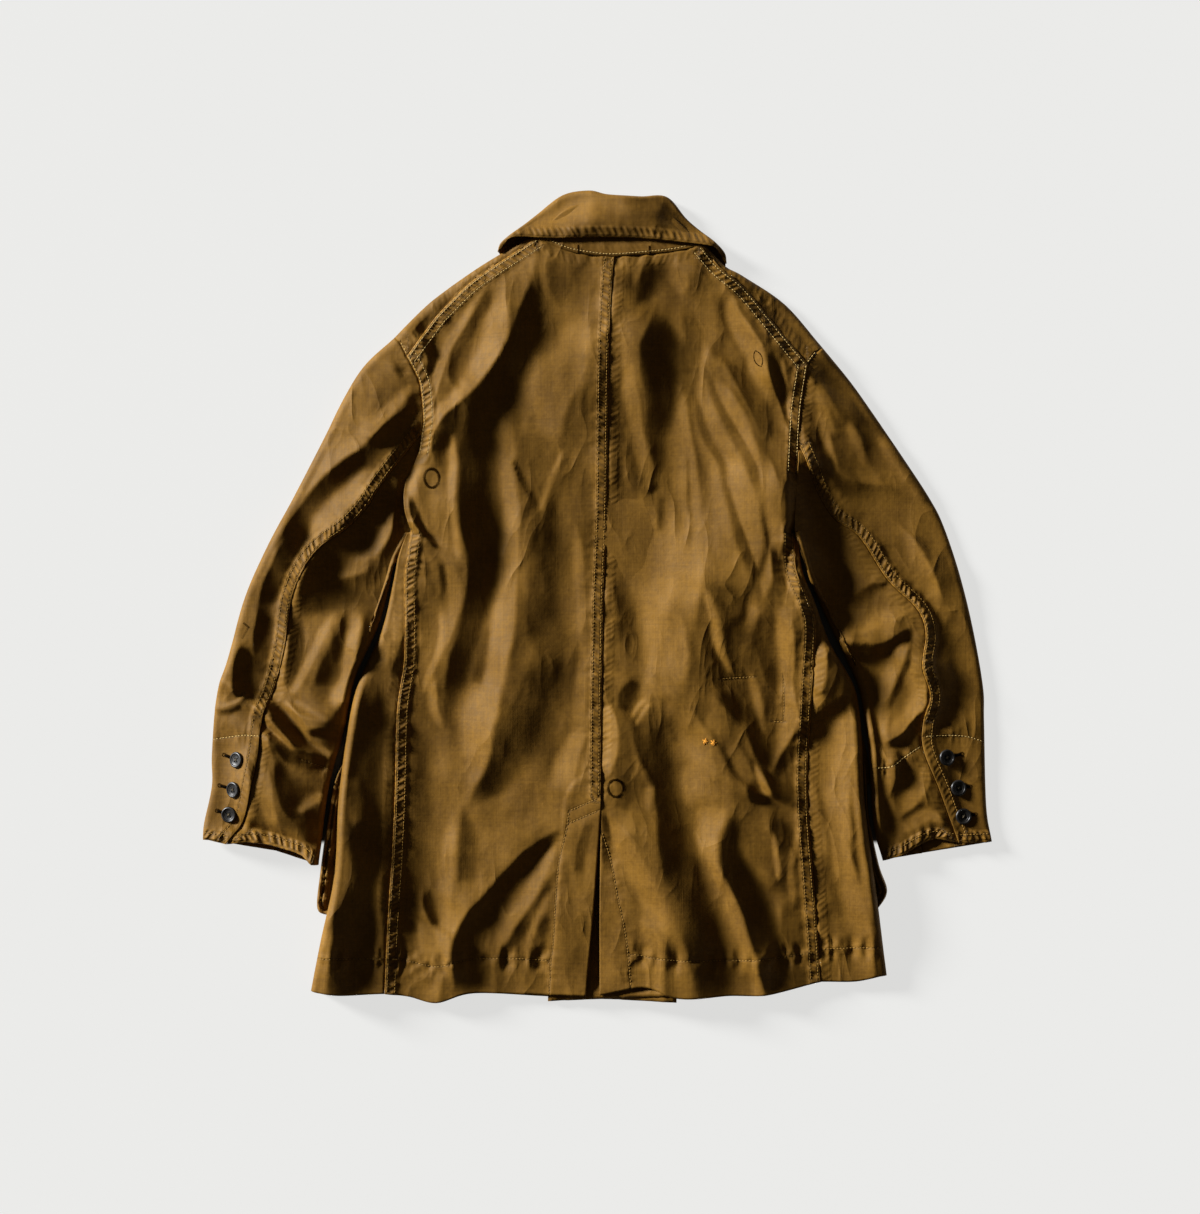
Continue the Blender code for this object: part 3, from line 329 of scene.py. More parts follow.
LEFT_ARM_SIDES = [
    (1.4, [(-206, 228, 8), (-216, 210, 14), (-226, 190, 18), (-238, 168, 20), (-252, 145, 20),
            (-267, 122, 17), (-282, 98, 9)]),
    (2.1, [(-176, 202, 2), (-195, 179, 6), (-215, 159, 8), (-238, 138, 8), (-260, 119, 8), (-282, 100, 5)]),
    (-1.4, [(-188, 220, 4), (-183, 208, 4)]),
    (-2.9, [(-171, 192, 3), (-177, 174, 7), (-187, 161, 9), (-199, 152, 8), (-211, 146, 5),
            (-217, 147, 2)]),
    (-2.3, [(-184, 142, 10), (-187, 126, 10), (-196, 112, 5)]),
    (-2.4, [(-217, 138, 3), (-233, 125, 7), (-249, 111, 9), (-264, 96, 9), (-277, 80, 8), (-288, 64, 7),
            (-298, 46, 5)]),
    (2.2, [(-212, 124, 5), (-221, 110, 8), (-234, 96, 9), (-248, 83, 9), (-260, 70, 8), (-270, 54, 5),
            (-280, 34, 4)]),
    (-2.2, [(-274, 84, 3), (-279, 68, 7), (-286, 52, 9), (-294, 36, 10), (-304, 20, 10), (-313, 4, 9),
            (-319, -12, 5)]),
    (1.5, [(-266, 62, 4), (-277, 40, 5), (-286, 16, 6), (-290, -6, 4)]),
    (1.3, [(-300, 62, 3), (-308, 48, 5), (-318, 30, 4), (-330, 6, 4)]),
    (-2.0, [(-318, -8, 6), (-318, -36, 8), (-317, -66, 8), (-319, -92, 6)]),
    (-2.5, [(-332, -48, 5), (-335, -66, 10), (-335, -84, 10), (-332, -99, 6)]),
    (1.7, [(-355, -66, 2), (-356, -82, 4), (-356, -96, 5), (-350, -105, 2)]),
    (2.2, [(-334, -92, 1), (-341, -98, 2), (-350, -103, 2), (-361, -104, 1.5)]),
    (-1.6, [(-338, -104, 1.5), (-348, -110, 2.5), (-361, -111, 2)]),
    (2.6, [(-301, -20, 5), (-302, -56, 8), (-304, -85, 8), (-311, -105, 4)]),
    (2.2, [(-350, -140, 14), (-348, -170, 18), (-350, -200, 19), (-354, -228, 19)]),
    # under sleeve
    (-2.7, [(-194, 110, 5), (-204, 92, 9), (-220, 70, 13), (-238, 48, 15), (-256, 30, 14), (-270, 8, 14),
            (-280, -14, 8)]),
    (-3.0, [(-187, 96, 4), (-187, 78, 4), (-188, 64, 3)]),
    (-1.4, [(-298, -148, 10), (-284, -162, 17), (-272, -180, 16), (-266, -196, 10)]),
    (-2.1, [(-206, 34, 6), (-214, 18, 8), (-230, 8, 12), (-250, 0, 15), (-268, -8, 12), (-286, -14, 8)]),
    (1.6, [(-196, 80, 2), (-204, 60, 5), (-215, 43, 5), (-231, 34, 2)]),
    (-2.0, [(-288, -16, 6), (-286, -40, 7), (-290, -66, 7), (-297, -88, 4)]),
    (2.0, [(-252, -18, 2), (-262, -34, 4), (-269, -48, 4), (-276, -62, 4), (-284, -78, 4), (-295, -95, 3)]),
    (-2.8, [(-240, -16, 4), (-247, -42, 7), (-256, -64, 8), (-267, -88, 6)]),
    (2.4, [(-225, -12, 5), (-230, -35, 7), (-235, -55, 7), (-238, -75, 7), (-246, -92, 8),
            (-256, -105, 6)]),
    (-1.3, [(-204, -34, 3), (-212, -50, 4), (-221, -68, 4), (-229, -92, 3), (-236, -110, 3)]),
    (1.3, [(-290, -96, 4), (-280, -106, 6), (-268, -110, 6), (-256, -112, 5)]),
    (-1.5, [(-312, -112, 5), (-306, -130, 8), (-300, -148, 8)]),
    (2.0, [(-320, -112, 2), (-312, -122, 3), (-300, -134, 3), (-288, -146, 2)]),
    (2.6, [(-302, -98, 3), (-291, -111, 5), (-280, -128, 5), (-275, -139, 2)]),
    (-3.4, [(-314, -98, 3), (-304, -112, 6), (-294, -125, 6), (-281, -142, 4)]),
    (-3.0, [(-277, -130, 3), (-264, -128, 5), (-250, -130, 5), (-242, -136, 4)]),
    (0.9, [(-273, -139, 2), (-262, -146, 3), (-250, -152, 3)]),
    (-2.6, [(-304, -136, 4), (-292, -150, 7), (-280, -154, 8), (-264, -158, 7), (-250, -166, 5)]),
    (-1.9, [(-294, -172, 9), (-282, -186, 13), (-268, -192, 10)]),
    (1.2, [(-316, -160, 4), (-316, -178, 8), (-314, -200, 8), (-308, -217, 5)]),
    (-2.1, [(-303, -156, 3), (-297, -176, 8), (-291, -195, 9), (-284, -209, 6)]),
    (1.3, [(-286, -203, 3), (-271, -192, 5), (-257, -187, 3)]),
    (-1.9, [(-256, -200, 4), (-264, -210, 7), (-276, -222, 7)]),
    (1.8, [(-336, -224, 6), (-308, -232, 8), (-284, -240, 8), (-264, -248, 5)]),
]
RIGHT_ARM_SIDES = [
    (-1.5, [(208, 232, 10), (222, 212, 15), (244, 182, 18), (268, 146, 17), (292, 106, 18), (315, 66, 14),
            (333, 28, 13), (347, -12, 12)]),
    (-2.2, [(195, 188, 3), (200, 165, 7), (207, 142, 10), (215, 122, 11), (225, 106, 8)]),
    (0.8, [(206, 196, 2), (212, 180, 4), (218, 165, 6), (223, 148, 6), (227, 132, 4), (230, 118, 2)]),
    (0.8, [(239, 164, 2), (246, 146, 5), (253, 128, 3)]),
    (1.4, [(266, 154, 2), (278, 135, 6), (290, 115, 8), (301, 98, 6), (310, 82, 2)]),
    (-2.1, [(220, 112, 5), (240, 102, 12), (260, 96, 12), (280, 92, 10), (302, 87, 6)]),
    (-2.4, [(200, 238, 6), (206, 218, 8), (212, 200, 6)]),
    (-1.3, [(228, 160, 8), (237, 130, 10), (240, 105, 8)]),
    (-1.1, [(232, 84, 8), (262, 74, 9), (290, 70, 8), (312, 62, 6)]),
    (1.7, [(276, 74, 4), (290, 55, 8), (302, 35, 9), (314, 15, 9), (324, -8, 6)]),
    (-1.9, [(265, 72, 2), (272, 53, 5), (280, 38, 5), (287, 24, 2)]),
    (-1.9, [(289, 32, 2), (298, 14, 5), (308, -2, 6), (320, -20, 5)]),
    (-2.6, [(345, -16, 8), (343, -40, 17), (341, -66, 21), (343, -90, 19), (345, -112, 12)]),
    (0.9, [(364, -96, 2), (354, -111, 4), (341, -122, 5), (322, -130, 3)]),
    (-2.4, [(345, -146, 13), (350, -180, 16), (356, -216, 14)]),
    # under sleeve
    (-3.2, [(190, 146, 4), (193, 120, 10), (197, 95, 14), (203, 70, 17), (210, 45, 19), (218, 20, 19),
            (225, -2, 14), (230, -24, 7)]),
    (-1.8, [(238, -10, 5), (250, -1, 6), (263, 9, 5), (276, 15, 3)]),
    (1.7, [(240, -32, 3), (257, -26, 8), (275, -18, 8), (294, -13, 4)]),
    (-2.7, [(232, -48, 6), (250, -57, 10), (267, -56, 10), (284, -45, 8), (299, -31, 3)]),
    (1.9, [(294, -40, 5), (284, -58, 8), (276, -75, 8), (270, -92, 8), (265, -107, 4)]),
    (1.8, [(305, -46, 4), (303, -70, 7), (306, -90, 8), (299, -108, 8), (288, -121, 7), (277, -133, 4)]),
    (-1.5, [(298, -54, 2), (291, -75, 3), (284, -92, 3), (278, -106, 2)]),
    (-1.7, [(320, -10, 5), (322, -45, 10), (322, -80, 11), (318, -108, 6)]),
    (-2.3, [(309, -110, 2), (300, -124, 5), (290, -136, 5), (275, -141, 3)]),
    (1.7, [(262, -142, 2), (270, -150, 4), (276, -152, 2)]),
    (1.5, [(271, -160, 2), (274, -180, 4), (281, -197, 3)]),
    (-2.3, [(284, -154, 4), (290, -172, 7), (285, -192, 4)]),
    (1.8, [(313, -156, 3), (310, -175, 6), (302, -190, 7), (292, -206, 4)]),
    (-1.6, [(280, -192, 2), (289, -186, 3), (298, -177, 1)]),
    (1.5, [(283, -222, 4), (300, -214, 5), (315, -206, 5), (326, -213, 3)]),
    (-1.6, [(286, -212, 2), (299, -205, 2), (312, -196, 1)]),
    (-2.9, [(248, -60, 5), (254, -90, 8), (258, -120, 8), (263, -165, 9), (269, -204, 10), (274, -236, 8)]),
]
COLLAR_SIDES = [
    (1.5, [(-86, 342, 6), (-58, 356, 13), (-30, 360, 18), (2, 360, 18)]),
    (-1.3, [(22, 368, 12), (48, 364, 14), (74, 354, 11), (98, 340, 6)]),
    (-1.6, [(52, 346, 5), (80, 340, 9), (104, 326, 7)]),
    (-1.0, [(36, 384, 3), (54, 370, 3), (70, 358, 2)]),
]

KEY_FROM = (-0.83, 0.44, 0.275)    # towards the key light
LEAN, SHADED_LEAN = 0.25, 0.18     # slope of a side for each unit of its lean, lit and shaded
KNIT = 0.03                        # how firmly the cloth keeps level across the light's direction
SPAN = 450.0                       # folds wider than this are evened out
CREASES = 220                      # small creases on each part, over the whole raster
SLOPE_NOISE = ((60, 0.45), (28, 0.5), (13, 0.30), (6, 0.08))   # size and amount of the small slopes
HEIGHT_NOISE = ((46, 0.5), (22, 0.35), (11, 0.16))             # size and height of the small swells


# ---------------------------------------------------------------- lines in plan

def smooth(points):
    """A smooth line through a few points, as many short stretches."""
    p = np.array(points, float)
    if len(p) < 3:
        return p
    ends = np.vstack([2 * p[0] - p[1], p, 2 * p[-1] - p[-2]])
    s = np.linspace(0, 1, 9)[:-1, None]
    a, b, c, d = (ends[k:len(ends) - 3 + k] for k in range(4))
    pieces = [0.5 * (2 * b[i] + (c[i] - a[i]) * s + (2 * a[i] - 5 * b[i] + 4 * c[i] - d[i]) * s ** 2
                     + (3 * b[i] - a[i] - 3 * c[i] + d[i]) * s ** 3) for i in range(len(b))]
    return np.vstack(pieces + [p[-1:]])


def run_of(line):
    """Length along a line at each of its points."""
    return np.concatenate([[0], np.cumsum(np.linalg.norm(np.diff(line, axis=0), axis=1))])


def at(line, lengths):
    """The points of a line at some lengths along it."""
    run = run_of(line)
    return np.column_stack([np.interp(lengths, run, line[:, k]) for k in (0, 1)])


def spread(steps, first=0.0, last=0.0):
    """Shares of a line from 0 to 1, closer together at the first or last end."""
    u = np.linspace(0, 1, steps + 1)
    both = min(first, last)
    t = u - both * np.sin(2 * math.pi * u) / (2 * math.pi)
    one = max(first, last) - both
    turn = 1 if first >= last else -1
    return t - turn * one * np.sin(math.pi * u) / math.pi * 0.8


def seam(lines, steps, first=0.0, last=0.0):
    """Lines end to end as steps + 1 points, with a point on each corner between them."""
    parts = [smooth(points) for points in lines]
    whole = np.vstack([parts[0]] + [part[1:] for part in parts[1:]])
    length = run_of(whole)[-1]
    corners = np.cumsum([run_of(part)[-1] for part in parts])[:-1] / length
    share = spread(steps, first, last)
    nearest_steps = [np.abs(share - corner).argmin() for corner in corners]
    share = np.interp(share, [0, *share[nearest_steps], 1], [0, *corners, 1])
    return at(whole, share * length)


def straight(start, end, steps, first=0.0):
    return seam([[tuple(start), tuple(end)]], steps, first)


def steps_for(lines, spacing=FINE):
    return max(2, round(sum(run_of(smooth(points))[-1] for points in lines) / spacing))


def outward(line, inside):
    """Unit normals of a line in plan, on the side away from the point inside."""
    along = np.gradient(line, axis=0)
    normal = np.column_stack([along[:, 1], -along[:, 0]])
    normal /= np.linalg.norm(normal, axis=1)[:, None]
    middle = len(line) // 2
    if np.dot(normal[middle], line[middle] - np.array(inside)) < 0:
        normal = -normal
    return normal


def fold_start(points, kind, steps, inside):
    """The line where a fold starts to turn, its outward normals, and how far the fold reaches from it."""
    line = seam([points], steps)
    out = outward(line, inside)
    reach = np.interp(np.linspace(0, 1, steps + 1), (0, 0.25, 1), REACH[kind])
    return line - out * reach[:, None], out, reach


def coons(start, end, left, right):
    """Grid of plan points between four lines: left and right run from start to end."""
    v = np.linspace(0, 1, len(left))[:, None, None]
    u = np.linspace(0, 1, len(start))[None, :, None]
    corners = (1 - u) * (1 - v) * start[0] + u * (1 - v) * start[-1] + (1 - u) * v * end[0] + u * v * end[-1]
    return (1 - v) * start[None] + v * end[None] + (1 - u) * left[:, None] + u * right[:, None] - corners


def ladder(first, second, steps):
    """Grid of plan points between two lines, with straight rungs at both ends."""
    return coons(straight(first[0], second[0], steps), straight(first[-1], second[-1], steps), first, second)


def nearest(x, y, line):
    """Distance to a line, length along it, and the side: 1 on its left hand, -1 on its right."""
    best = np.full(np.shape(x), 1e12)
    along, side = np.zeros(np.shape(x)), np.ones(np.shape(x))
    for a, b, before in zip(line, line[1:], run_of(line)):
        step = b - a
        length = math.hypot(*step)
        if length < 1e-9:
            continue
        t = np.clip(((x - a[0]) * step[0] + (y - a[1]) * step[1]) / length ** 2, 0, 1)
        off_x, off_y = x - a[0] - t * step[0], y - a[1] - t * step[1]
        square = off_x ** 2 + off_y ** 2
        closer = square < best
        best = np.where(closer, square, best)
        along = np.where(closer, before + t * length, along)
        side = np.where(closer, np.where(step[0] * off_y - step[1] * off_x >= 0, 1.0, -1.0), side)
    return np.sqrt(best), along, side


# ---------------------------------------------------------------- relief

GRID_X, GRID_Y = np.arange(-402.0, 403.0), np.arange(-412.0, 413.0)
MESH_X, MESH_Y = np.meshgrid(GRID_X, GRID_Y)
AWAY = -np.array(KEY_FROM[:2]) / math.hypot(*KEY_FROM[:2])       # the way the light travels, in plan


def soft_step(low, high, value):
    """0 below low, 1 above high, smooth between."""
    t = np.clip((value - low) / (high - low), 0, 1)
    return t * t * (3 - 2 * t)


def bell(distance, width):
    return np.exp(-(distance / width) ** 2)


def noise(x, y, size, seed):
    """Smooth noise from -1 to 1 whose bumps are about size across."""
    table = np.random.default_rng(seed).uniform(-1, 1, (256, 256))
    u, v = x / size + 1000.5, y / size + 1000.5
    i, j = np.floor(u).astype(int), np.floor(v).astype(int)
    fu, fv = u - i, v - j
    fu, fv = fu * fu * (3 - 2 * fu), fv * fv * (3 - 2 * fv)
    i0, j0, i1, j1 = i % 256, j % 256, (i + 1) % 256, (j + 1) % 256
    return ((table[i0, j0] * (1 - fu) + table[i1, j0] * fu) * (1 - fv)
            + (table[i0, j1] * (1 - fu) + table[i1, j1] * fu) * fv)


# The raster, bent a little, so that no fold has a ruled edge
WARP_X = MESH_X + 2.4 * noise(MESH_X, MESH_Y, 34, 1) + 0.5 * noise(MESH_X, MESH_Y, 12, 2)
WARP_Y = MESH_Y + 2.4 * noise(MESH_X, MESH_Y, 34, 3) + 0.5 * noise(MESH_X, MESH_Y, 12, 4)


def window(points, margin):
    """The part of the raster within a margin of some points."""
    low, high = np.min(points, axis=0) - margin, np.max(points, axis=0) + margin
    x0, x1 = np.searchsorted(GRID_X, (low[0], high[0]))
    y0, y1 = np.searchsorted(GRID_Y, (low[1], high[1]))
    return slice(y0, y1), slice(x0, x1)


def add_side(slopes, firmness, lean, points):
    """Lays one side of a fold into the slopes: a strip of even lean, crisp at its crest."""
    table = np.array(points, float)
    line = smooth(table[:, :2])
    run = run_of(line)
    part = window(line, 1.6 * table[:, 2].max() + 4)
    distance, along, _ = nearest(WARP_X[part], WARP_Y[part], line)
    half = np.interp(along, run[::8] if len(table) > 2 else run, table[:, 2])
    share = along / run[-1]
    ends = soft_step(-0.06, 0.13, share) * soft_step(-0.06, 0.13, 1 - share)
    foot_x, foot_y = (np.interp(along, run, line[:, k]) for k in (0, 1))
    lit_edge = (WARP_X[part] - foot_x) * KEY_FROM[0] + (WARP_Y[part] - foot_y) * KEY_FROM[1] > 0
    crest = 1 - soft_step(half * 0.86, half * 1.08 + 0.6, distance)
    trough = 1 - soft_step(half * 0.35, half * 1.40 + 0.8, distance)
    mask = ends * np.where(lit_edge == (lean < 0), crest, trough)
    slopes[part] += (lean * (LEAN if lean > 0 else SHADED_LEAN) - slopes[part]) * mask
    firmness[part] += (1 - firmness[part]) * mask


def add_crease(relief, width, height, points):
    """A thin ridge that dies away at both ends."""
    line = smooth(points)
    part = window(line, 3 * width)
    distance, along, _ = nearest(WARP_X[part], WARP_Y[part], line)
    share = along / run_of(line)[-1]
    relief[part] += height * np.sin(math.pi * share) ** 2 * bell(distance, width)


def height_from(slopes):
    """The relief whose slope away from the light is as near as can be to the one given."""
    rows, columns = (2 ** math.ceil(math.log2(n + 190)) for n in slopes.shape)
    field = np.zeros((rows, columns))
    field[:slopes.shape[0], :slopes.shape[1]] = slopes
    ky = 2 * math.pi * np.fft.fftfreq(rows)[:, None]
    kx = 2 * math.pi * np.fft.rfftfreq(columns)[None, :]
    down, across = kx * AWAY[0] + ky * AWAY[1], ky * AWAY[0] - kx * AWAY[1]
    wave = np.fft.rfft2(field) * (-1j * down) / (down ** 2 + KNIT * across ** 2 + (2 * math.pi / SPAN) ** 2)
    return np.fft.irfft2(wave, field.shape)[:slopes.shape[0], :slopes.shape[1]]


def true_up(relief, slopes, firmness):
    """Nudges a relief until the sides of its folds lean as they should."""
    for _ in range(3):
        rise_y, rise_x = np.gradient(relief)
        relief += height_from(firmness * (slopes - rise_x * AWAY[0] - rise_y * AWAY[1]))


def relief_of(sides, seed, wrinkle=1.0):
    """Height of one part of the coat: its loft, its folds, and the small wrinkles between them.
    It comes with the slopes it should have and how firmly it should have them."""
    slopes, firmness = np.zeros(MESH_X.shape), np.zeros(MESH_X.shape)
    for lean, points in sides:
        add_side(slopes, firmness, lean, points)
    for size, amount in SLOPE_NOISE:
        slopes += wrinkle * amount * LEAN * noise(WARP_X * 1.6, WARP_Y * 0.6, size, seed + 7 * size)
    relief = LOFT + height_from(slopes)
    for size, amount in HEIGHT_NOISE:
        relief += wrinkle * amount * noise(WARP_X * 1.5, WARP_Y * 0.75, size, seed + size)
    draw = np.random.default_rng(seed)
    for _ in range(CREASES):
        x, y = draw.uniform(-370, 370), draw.uniform(-380, 380)
        length, lean, bend = draw.uniform(18, 60), draw.normal(0, 0.38), draw.normal(0, 3)
        way = np.array([math.sin(lean), -math.cos(lean)]) * length
        points = [(x, y), (x + way[0] / 2 + bend, y + way[1] / 2), (x + way[0], y + way[1])]
        width = draw.uniform(1.8, 4.5)
        add_crease(relief, width, wrinkle * draw.uniform(0.1, 0.16) * width, points)
    return relief, slopes, firmness


def fall_to(relief, line, fall, width):
    """Lowers the cloth towards a line, as padding thins towards an edge."""
    part = window(line, 2.6 * width)
    distance = nearest(MESH_X[part], MESH_Y[part], line)[0]
    relief[part] -= fall * bell(distance, width)


def settle(relief, line, height, width=12):
    """Brings the cloth to a height along a line."""
    part = window(line, 2.6 * width)
    distance = nearest(MESH_X[part], MESH_Y[part], line)[0]
    relief[part] += (height - relief[part]) * bell(distance, width)


def share_height(first, second, line, width=14):
    """Two reliefs meet at the same height along the seam between them."""
    part = window(line, 3 * width)
    weight = bell(nearest(MESH_X[part], MESH_Y[part], line)[0], width)
    middle = (first[part] + second[part]) / 2
    first[part] += weight * (middle - first[part])
    second[part] += weight * (middle - second[part])


def sample(relief, x, y):
    """The relief at points between the raster's cells."""
    u = np.clip(x - GRID_X[0], 0, len(GRID_X) - 1.001)
    v = np.clip(y - GRID_Y[0], 0, len(GRID_Y) - 1.001)
    j, i = u.astype(int), v.astype(int)
    fu, fv = u - j, v - i
    return ((relief[i, j] * (1 - fu) + relief[i, j + 1] * fu) * (1 - fv)
            + (relief[i + 1, j] * (1 - fu) + relief[i + 1, j + 1] * fu) * fv)


def make_reliefs():
    made = {
        "body": relief_of(BODY_SIDES, 100),
        "arm_left": relief_of(LEFT_ARM_SIDES, 200, 1.2),
        "arm_right": relief_of(RIGHT_ARM_SIDES, 300, 1.2),
        "collar": relief_of(COLLAR_SIDES, 400, 0.8),
    }
    reliefs = {name: relief for name, (relief, _, _) in made.items()}
    body, leaf = reliefs["body"], reliefs["collar"]
    leaf += LEAF_RISE
    for side, cut in CUTS.items():
        arm = reliefs["arm_" + side]
        for relief, points, fall, width in (
            (arm, cut["sleeve_fold"], *OUTER_FALL[side]), (arm, cut["inner_fold"], INNER_FALL[side], 13),
            (body, cut["side_fold"], 5.5, 12), (body, cut["shoulder_fold"], 6.0, 22),
            (body, cut["armhole_low"], 6.0, 8), (arm, cut["armhole_low"], 7.0, 10),
            (arm, cut["armhole_top"] + cut["armhole_low"][1:], 2.0, 7),
        ):
            fall_to(relief, smooth(points), fall, width)
    for parts in made.values():
        true_up(*parts)
    for side, cut in CUTS.items():
        share_height(body, reliefs["arm_" + side], smooth(cut["shoulder_fold"][-1:] + cut["armhole_top"]))
    fall_to(leaf, smooth(COLLAR["fold"]), 5.0, 16)
    settle(body, smooth(NECK), NECK_HEIGHT)
    settle(leaf, smooth(COLLAR["leaf_edge"][2:8]), LEAF_EDGE_HEIGHT)
    for relief in reliefs.values():
        relief[:] = FLOOR_OF_FOLDS + 3 * np.logaddexp(0, (relief - FLOOR_OF_FOLDS) / 3)
        relief[:] = TOP_OF_FOLDS - 2 * np.logaddexp(0, (TOP_OF_FOLDS - relief) / 2)
    return reliefs


RELIEFS = make_reliefs()

# ---------------------------------------------------------------- seams and rows of stitches

BAND, LAPPED = 11.0, 0.8               # width and rise of the lapped band of a twin-needle seam
ROWS, ARMHOLE_ROWS = (2.2, 9.4), (1.4, 9.0)   # its two rows of stitches, from the edge of the lap
SEAM_REACH, ROW_REACH = 30.0, 3.4      # how far from a seam or a row the material hears of it


def band(points, lapped, width=BAND, rise=LAPPED, rope=1.0, rows=ROWS, pale=True):
    """A seam along an edge of a piece; lapped says whether this piece lies over its neighbour there."""
    return {"line": smooth(points), "lapped": lapped, "width": width, "rise": rise, "rope": rope,
            "rows": rows if lapped else (), "pale": pale}


def row(points, pucker=0.35, reach=7.0, pale=False):
    """A row of stitches inside a piece, and how it draws the cloth up."""
    return {"line": smooth(points), "pucker": pucker, "reach": reach, "rows": (0.0,), "pale": pale}


def beside(x, y, line, margin):
    """Which points lie in the box of a line and its margin."""
    low, high = line.min(0) - margin, line.max(0) + margin
    return (x > low[0]) & (x < high[0]) & (y > low[1]) & (y < high[1])


def pucker(along, distance, seed):
    """Small pleats across a seam, from the pull of its thread."""
    pleats = 0.55 - 2.4 * abs(noise(along, distance * 0.45, 6.5, 50 + seed))
    return pleats + 0.7 * noise(along, distance * 0.3, 14, 70 + seed)


def seam_height(x, y, bands):
    """What the seams and rows of a piece add to its height."""
    z = np.zeros(np.shape(x))
    for number, one in enumerate(bands):
        part = beside(x, y, one["line"], 2.5 * one.get("reach", one.get("width")) + 6)
        if not part.any():
            continue
        distance, along, _ = nearest(x[part], y[part], one["line"])
        waves = pucker(along, distance, number)
        if "reach" in one:
            z[part] += 1.3 * one["pucker"] * waves * bell(distance, one["reach"])
            z[part] -= 0.35 * bell(distance, 2.2)
        elif one["lapped"]:
            z[part] += 0.35 * one["rope"] * waves * bell(distance - 4, 15)
            flat = 1 - soft_step(one["width"] - 0.5, one["width"] + 3, distance)
            z[part] += one["rise"] * flat * soft_step(-1.0, 1.2, distance)
            z[part] += 0.5 * one["rope"] * waves * bell(distance - min(one["width"], BAND) / 2, BAND * 0.62)
        else:
            z[part] += -0.4 * bell(distance, 3.5) + 0.55 * one["rope"] * waves * bell(distance, 12)
    return z


def stitched_lines(bands, inside):
    """Every row of stitches of a piece, in plan, and whether its thread is pale."""
    lines = []
    for one in bands:
        for offset in one["rows"]:
            line = one["line"]
            lines.append((line - outward(line, inside) * offset if offset else line, one["pale"]))
    return lines


def closest(x, y, lines, reach):
    """For each line, the points nearer to it than to those before: which, and nearest()'s three."""
    best = np.full(len(x), reach)
    for line in lines:
        part = np.flatnonzero(beside(x, y, line, reach))
        distance, along, side = nearest(x[part], y[part], line)
        closer = distance < best[part]
        part, distance, along, side = part[closer], distance[closer], along[closer], side[closer]
        best[part] = distance
        yield part, distance, along, side


def seam_data(x, y, bands):
    """For each point the length along the nearest seam, the distance from it, and how roped it is."""
    data = np.tile((0.0, 0.5, 0.0), (len(x), 1))
    seams = [one for one in bands if "reach" not in one]
    lines = [one["line"] for one in seams]
    for one, (part, distance, along, _) in zip(seams, closest(x, y, lines, SEAM_REACH)):
        strength = one["rope"] if one["lapped"] else 0.2
        data[part] = np.column_stack([along * MM, distance * MM, np.full(len(part), strength)])
    return data


def row_data(x, y, lines):
    """For each point the length along the nearest row, the signed distance from it, and how near it is."""
    data = np.tile((0.0, 0.05, 0.0), (len(x), 1))
    for part, distance, along, side in closest(x, y, lines, ROW_REACH):
        nearness = 1 - soft_step(2.4, ROW_REACH, distance)
        data[part] = np.column_stack([along * MM, distance * side * MM, nearness])
    return data


def surface(group, bands=()):
    """The height of a piece's top face as a function of place."""
    def height(x, y):
        z = sample(RELIEFS[group], x, y)
        return z + seam_height(x, y, bands) if bands else z
    return height


def ground(x, y):
    return np.zeros(np.broadcast(x, y).shape)


def lift(x, y):
    """How far the fronts are held off the ground by what lies under them."""
    rise = ground(x, y)
    for cx, cy, half_x, half_y, slope, height in LIFTS:
        side = 1 - soft_step(half_x - slope, half_x, abs(x - cx))
        rise = np.maximum(rise, height * side * (1 - soft_step(half_y - slope, half_y, abs(y - cy))))
    return rise


def hem_strip(x, y):
    """The fronts' hem shows below the vent: it lies right under the back's hem there, puckered by its row."""
    share = soft_step(-356, -377, y) * (1 - soft_step(58, 100, abs(x - 14)))
    under = sample(RELIEFS["body"], x, np.maximum(y, -378)) - 5.4 + 0.9 * pucker(x + 100, abs(y + 378), 11)
    return share, under


def outer_front_height(x, y):
    low = lift(x, y)
    share, under = hem_strip(x, y)
    return low + (under - low) * share


def inner_front_height(x, y):
    low = lift(x, y) + INNER_FRONT * (1 - soft_step(LAPPED_FROM, LAPPED_TO, x))
    share, under = hem_strip(x, y)
    return low + (under + INNER_HEM - low) * share


def on_surface(plan, height):
    return np.dstack([plan, height(plan[..., 0], plan[..., 1])])


def rolled(start, out, reach, low, high):
    """The folded edge between the top and the ground layer, from above the line start to below it."""
    z_low, z_high = low(*start.T), high(*start.T)
    half, middle = (z_high - z_low) / 2, (z_high + z_low) / 2
    rows = []
    for angle in np.linspace(math.pi / 2, -math.pi / 2, ROLL_STEPS + 1):
        c, s = math.cos(angle), math.sin(angle)
        rows.append(np.column_stack([start + out * (reach * c)[:, None], middle + half * s]))
    return np.stack(rows, 1)


# ---------------------------------------------------------------- cloth as a shell

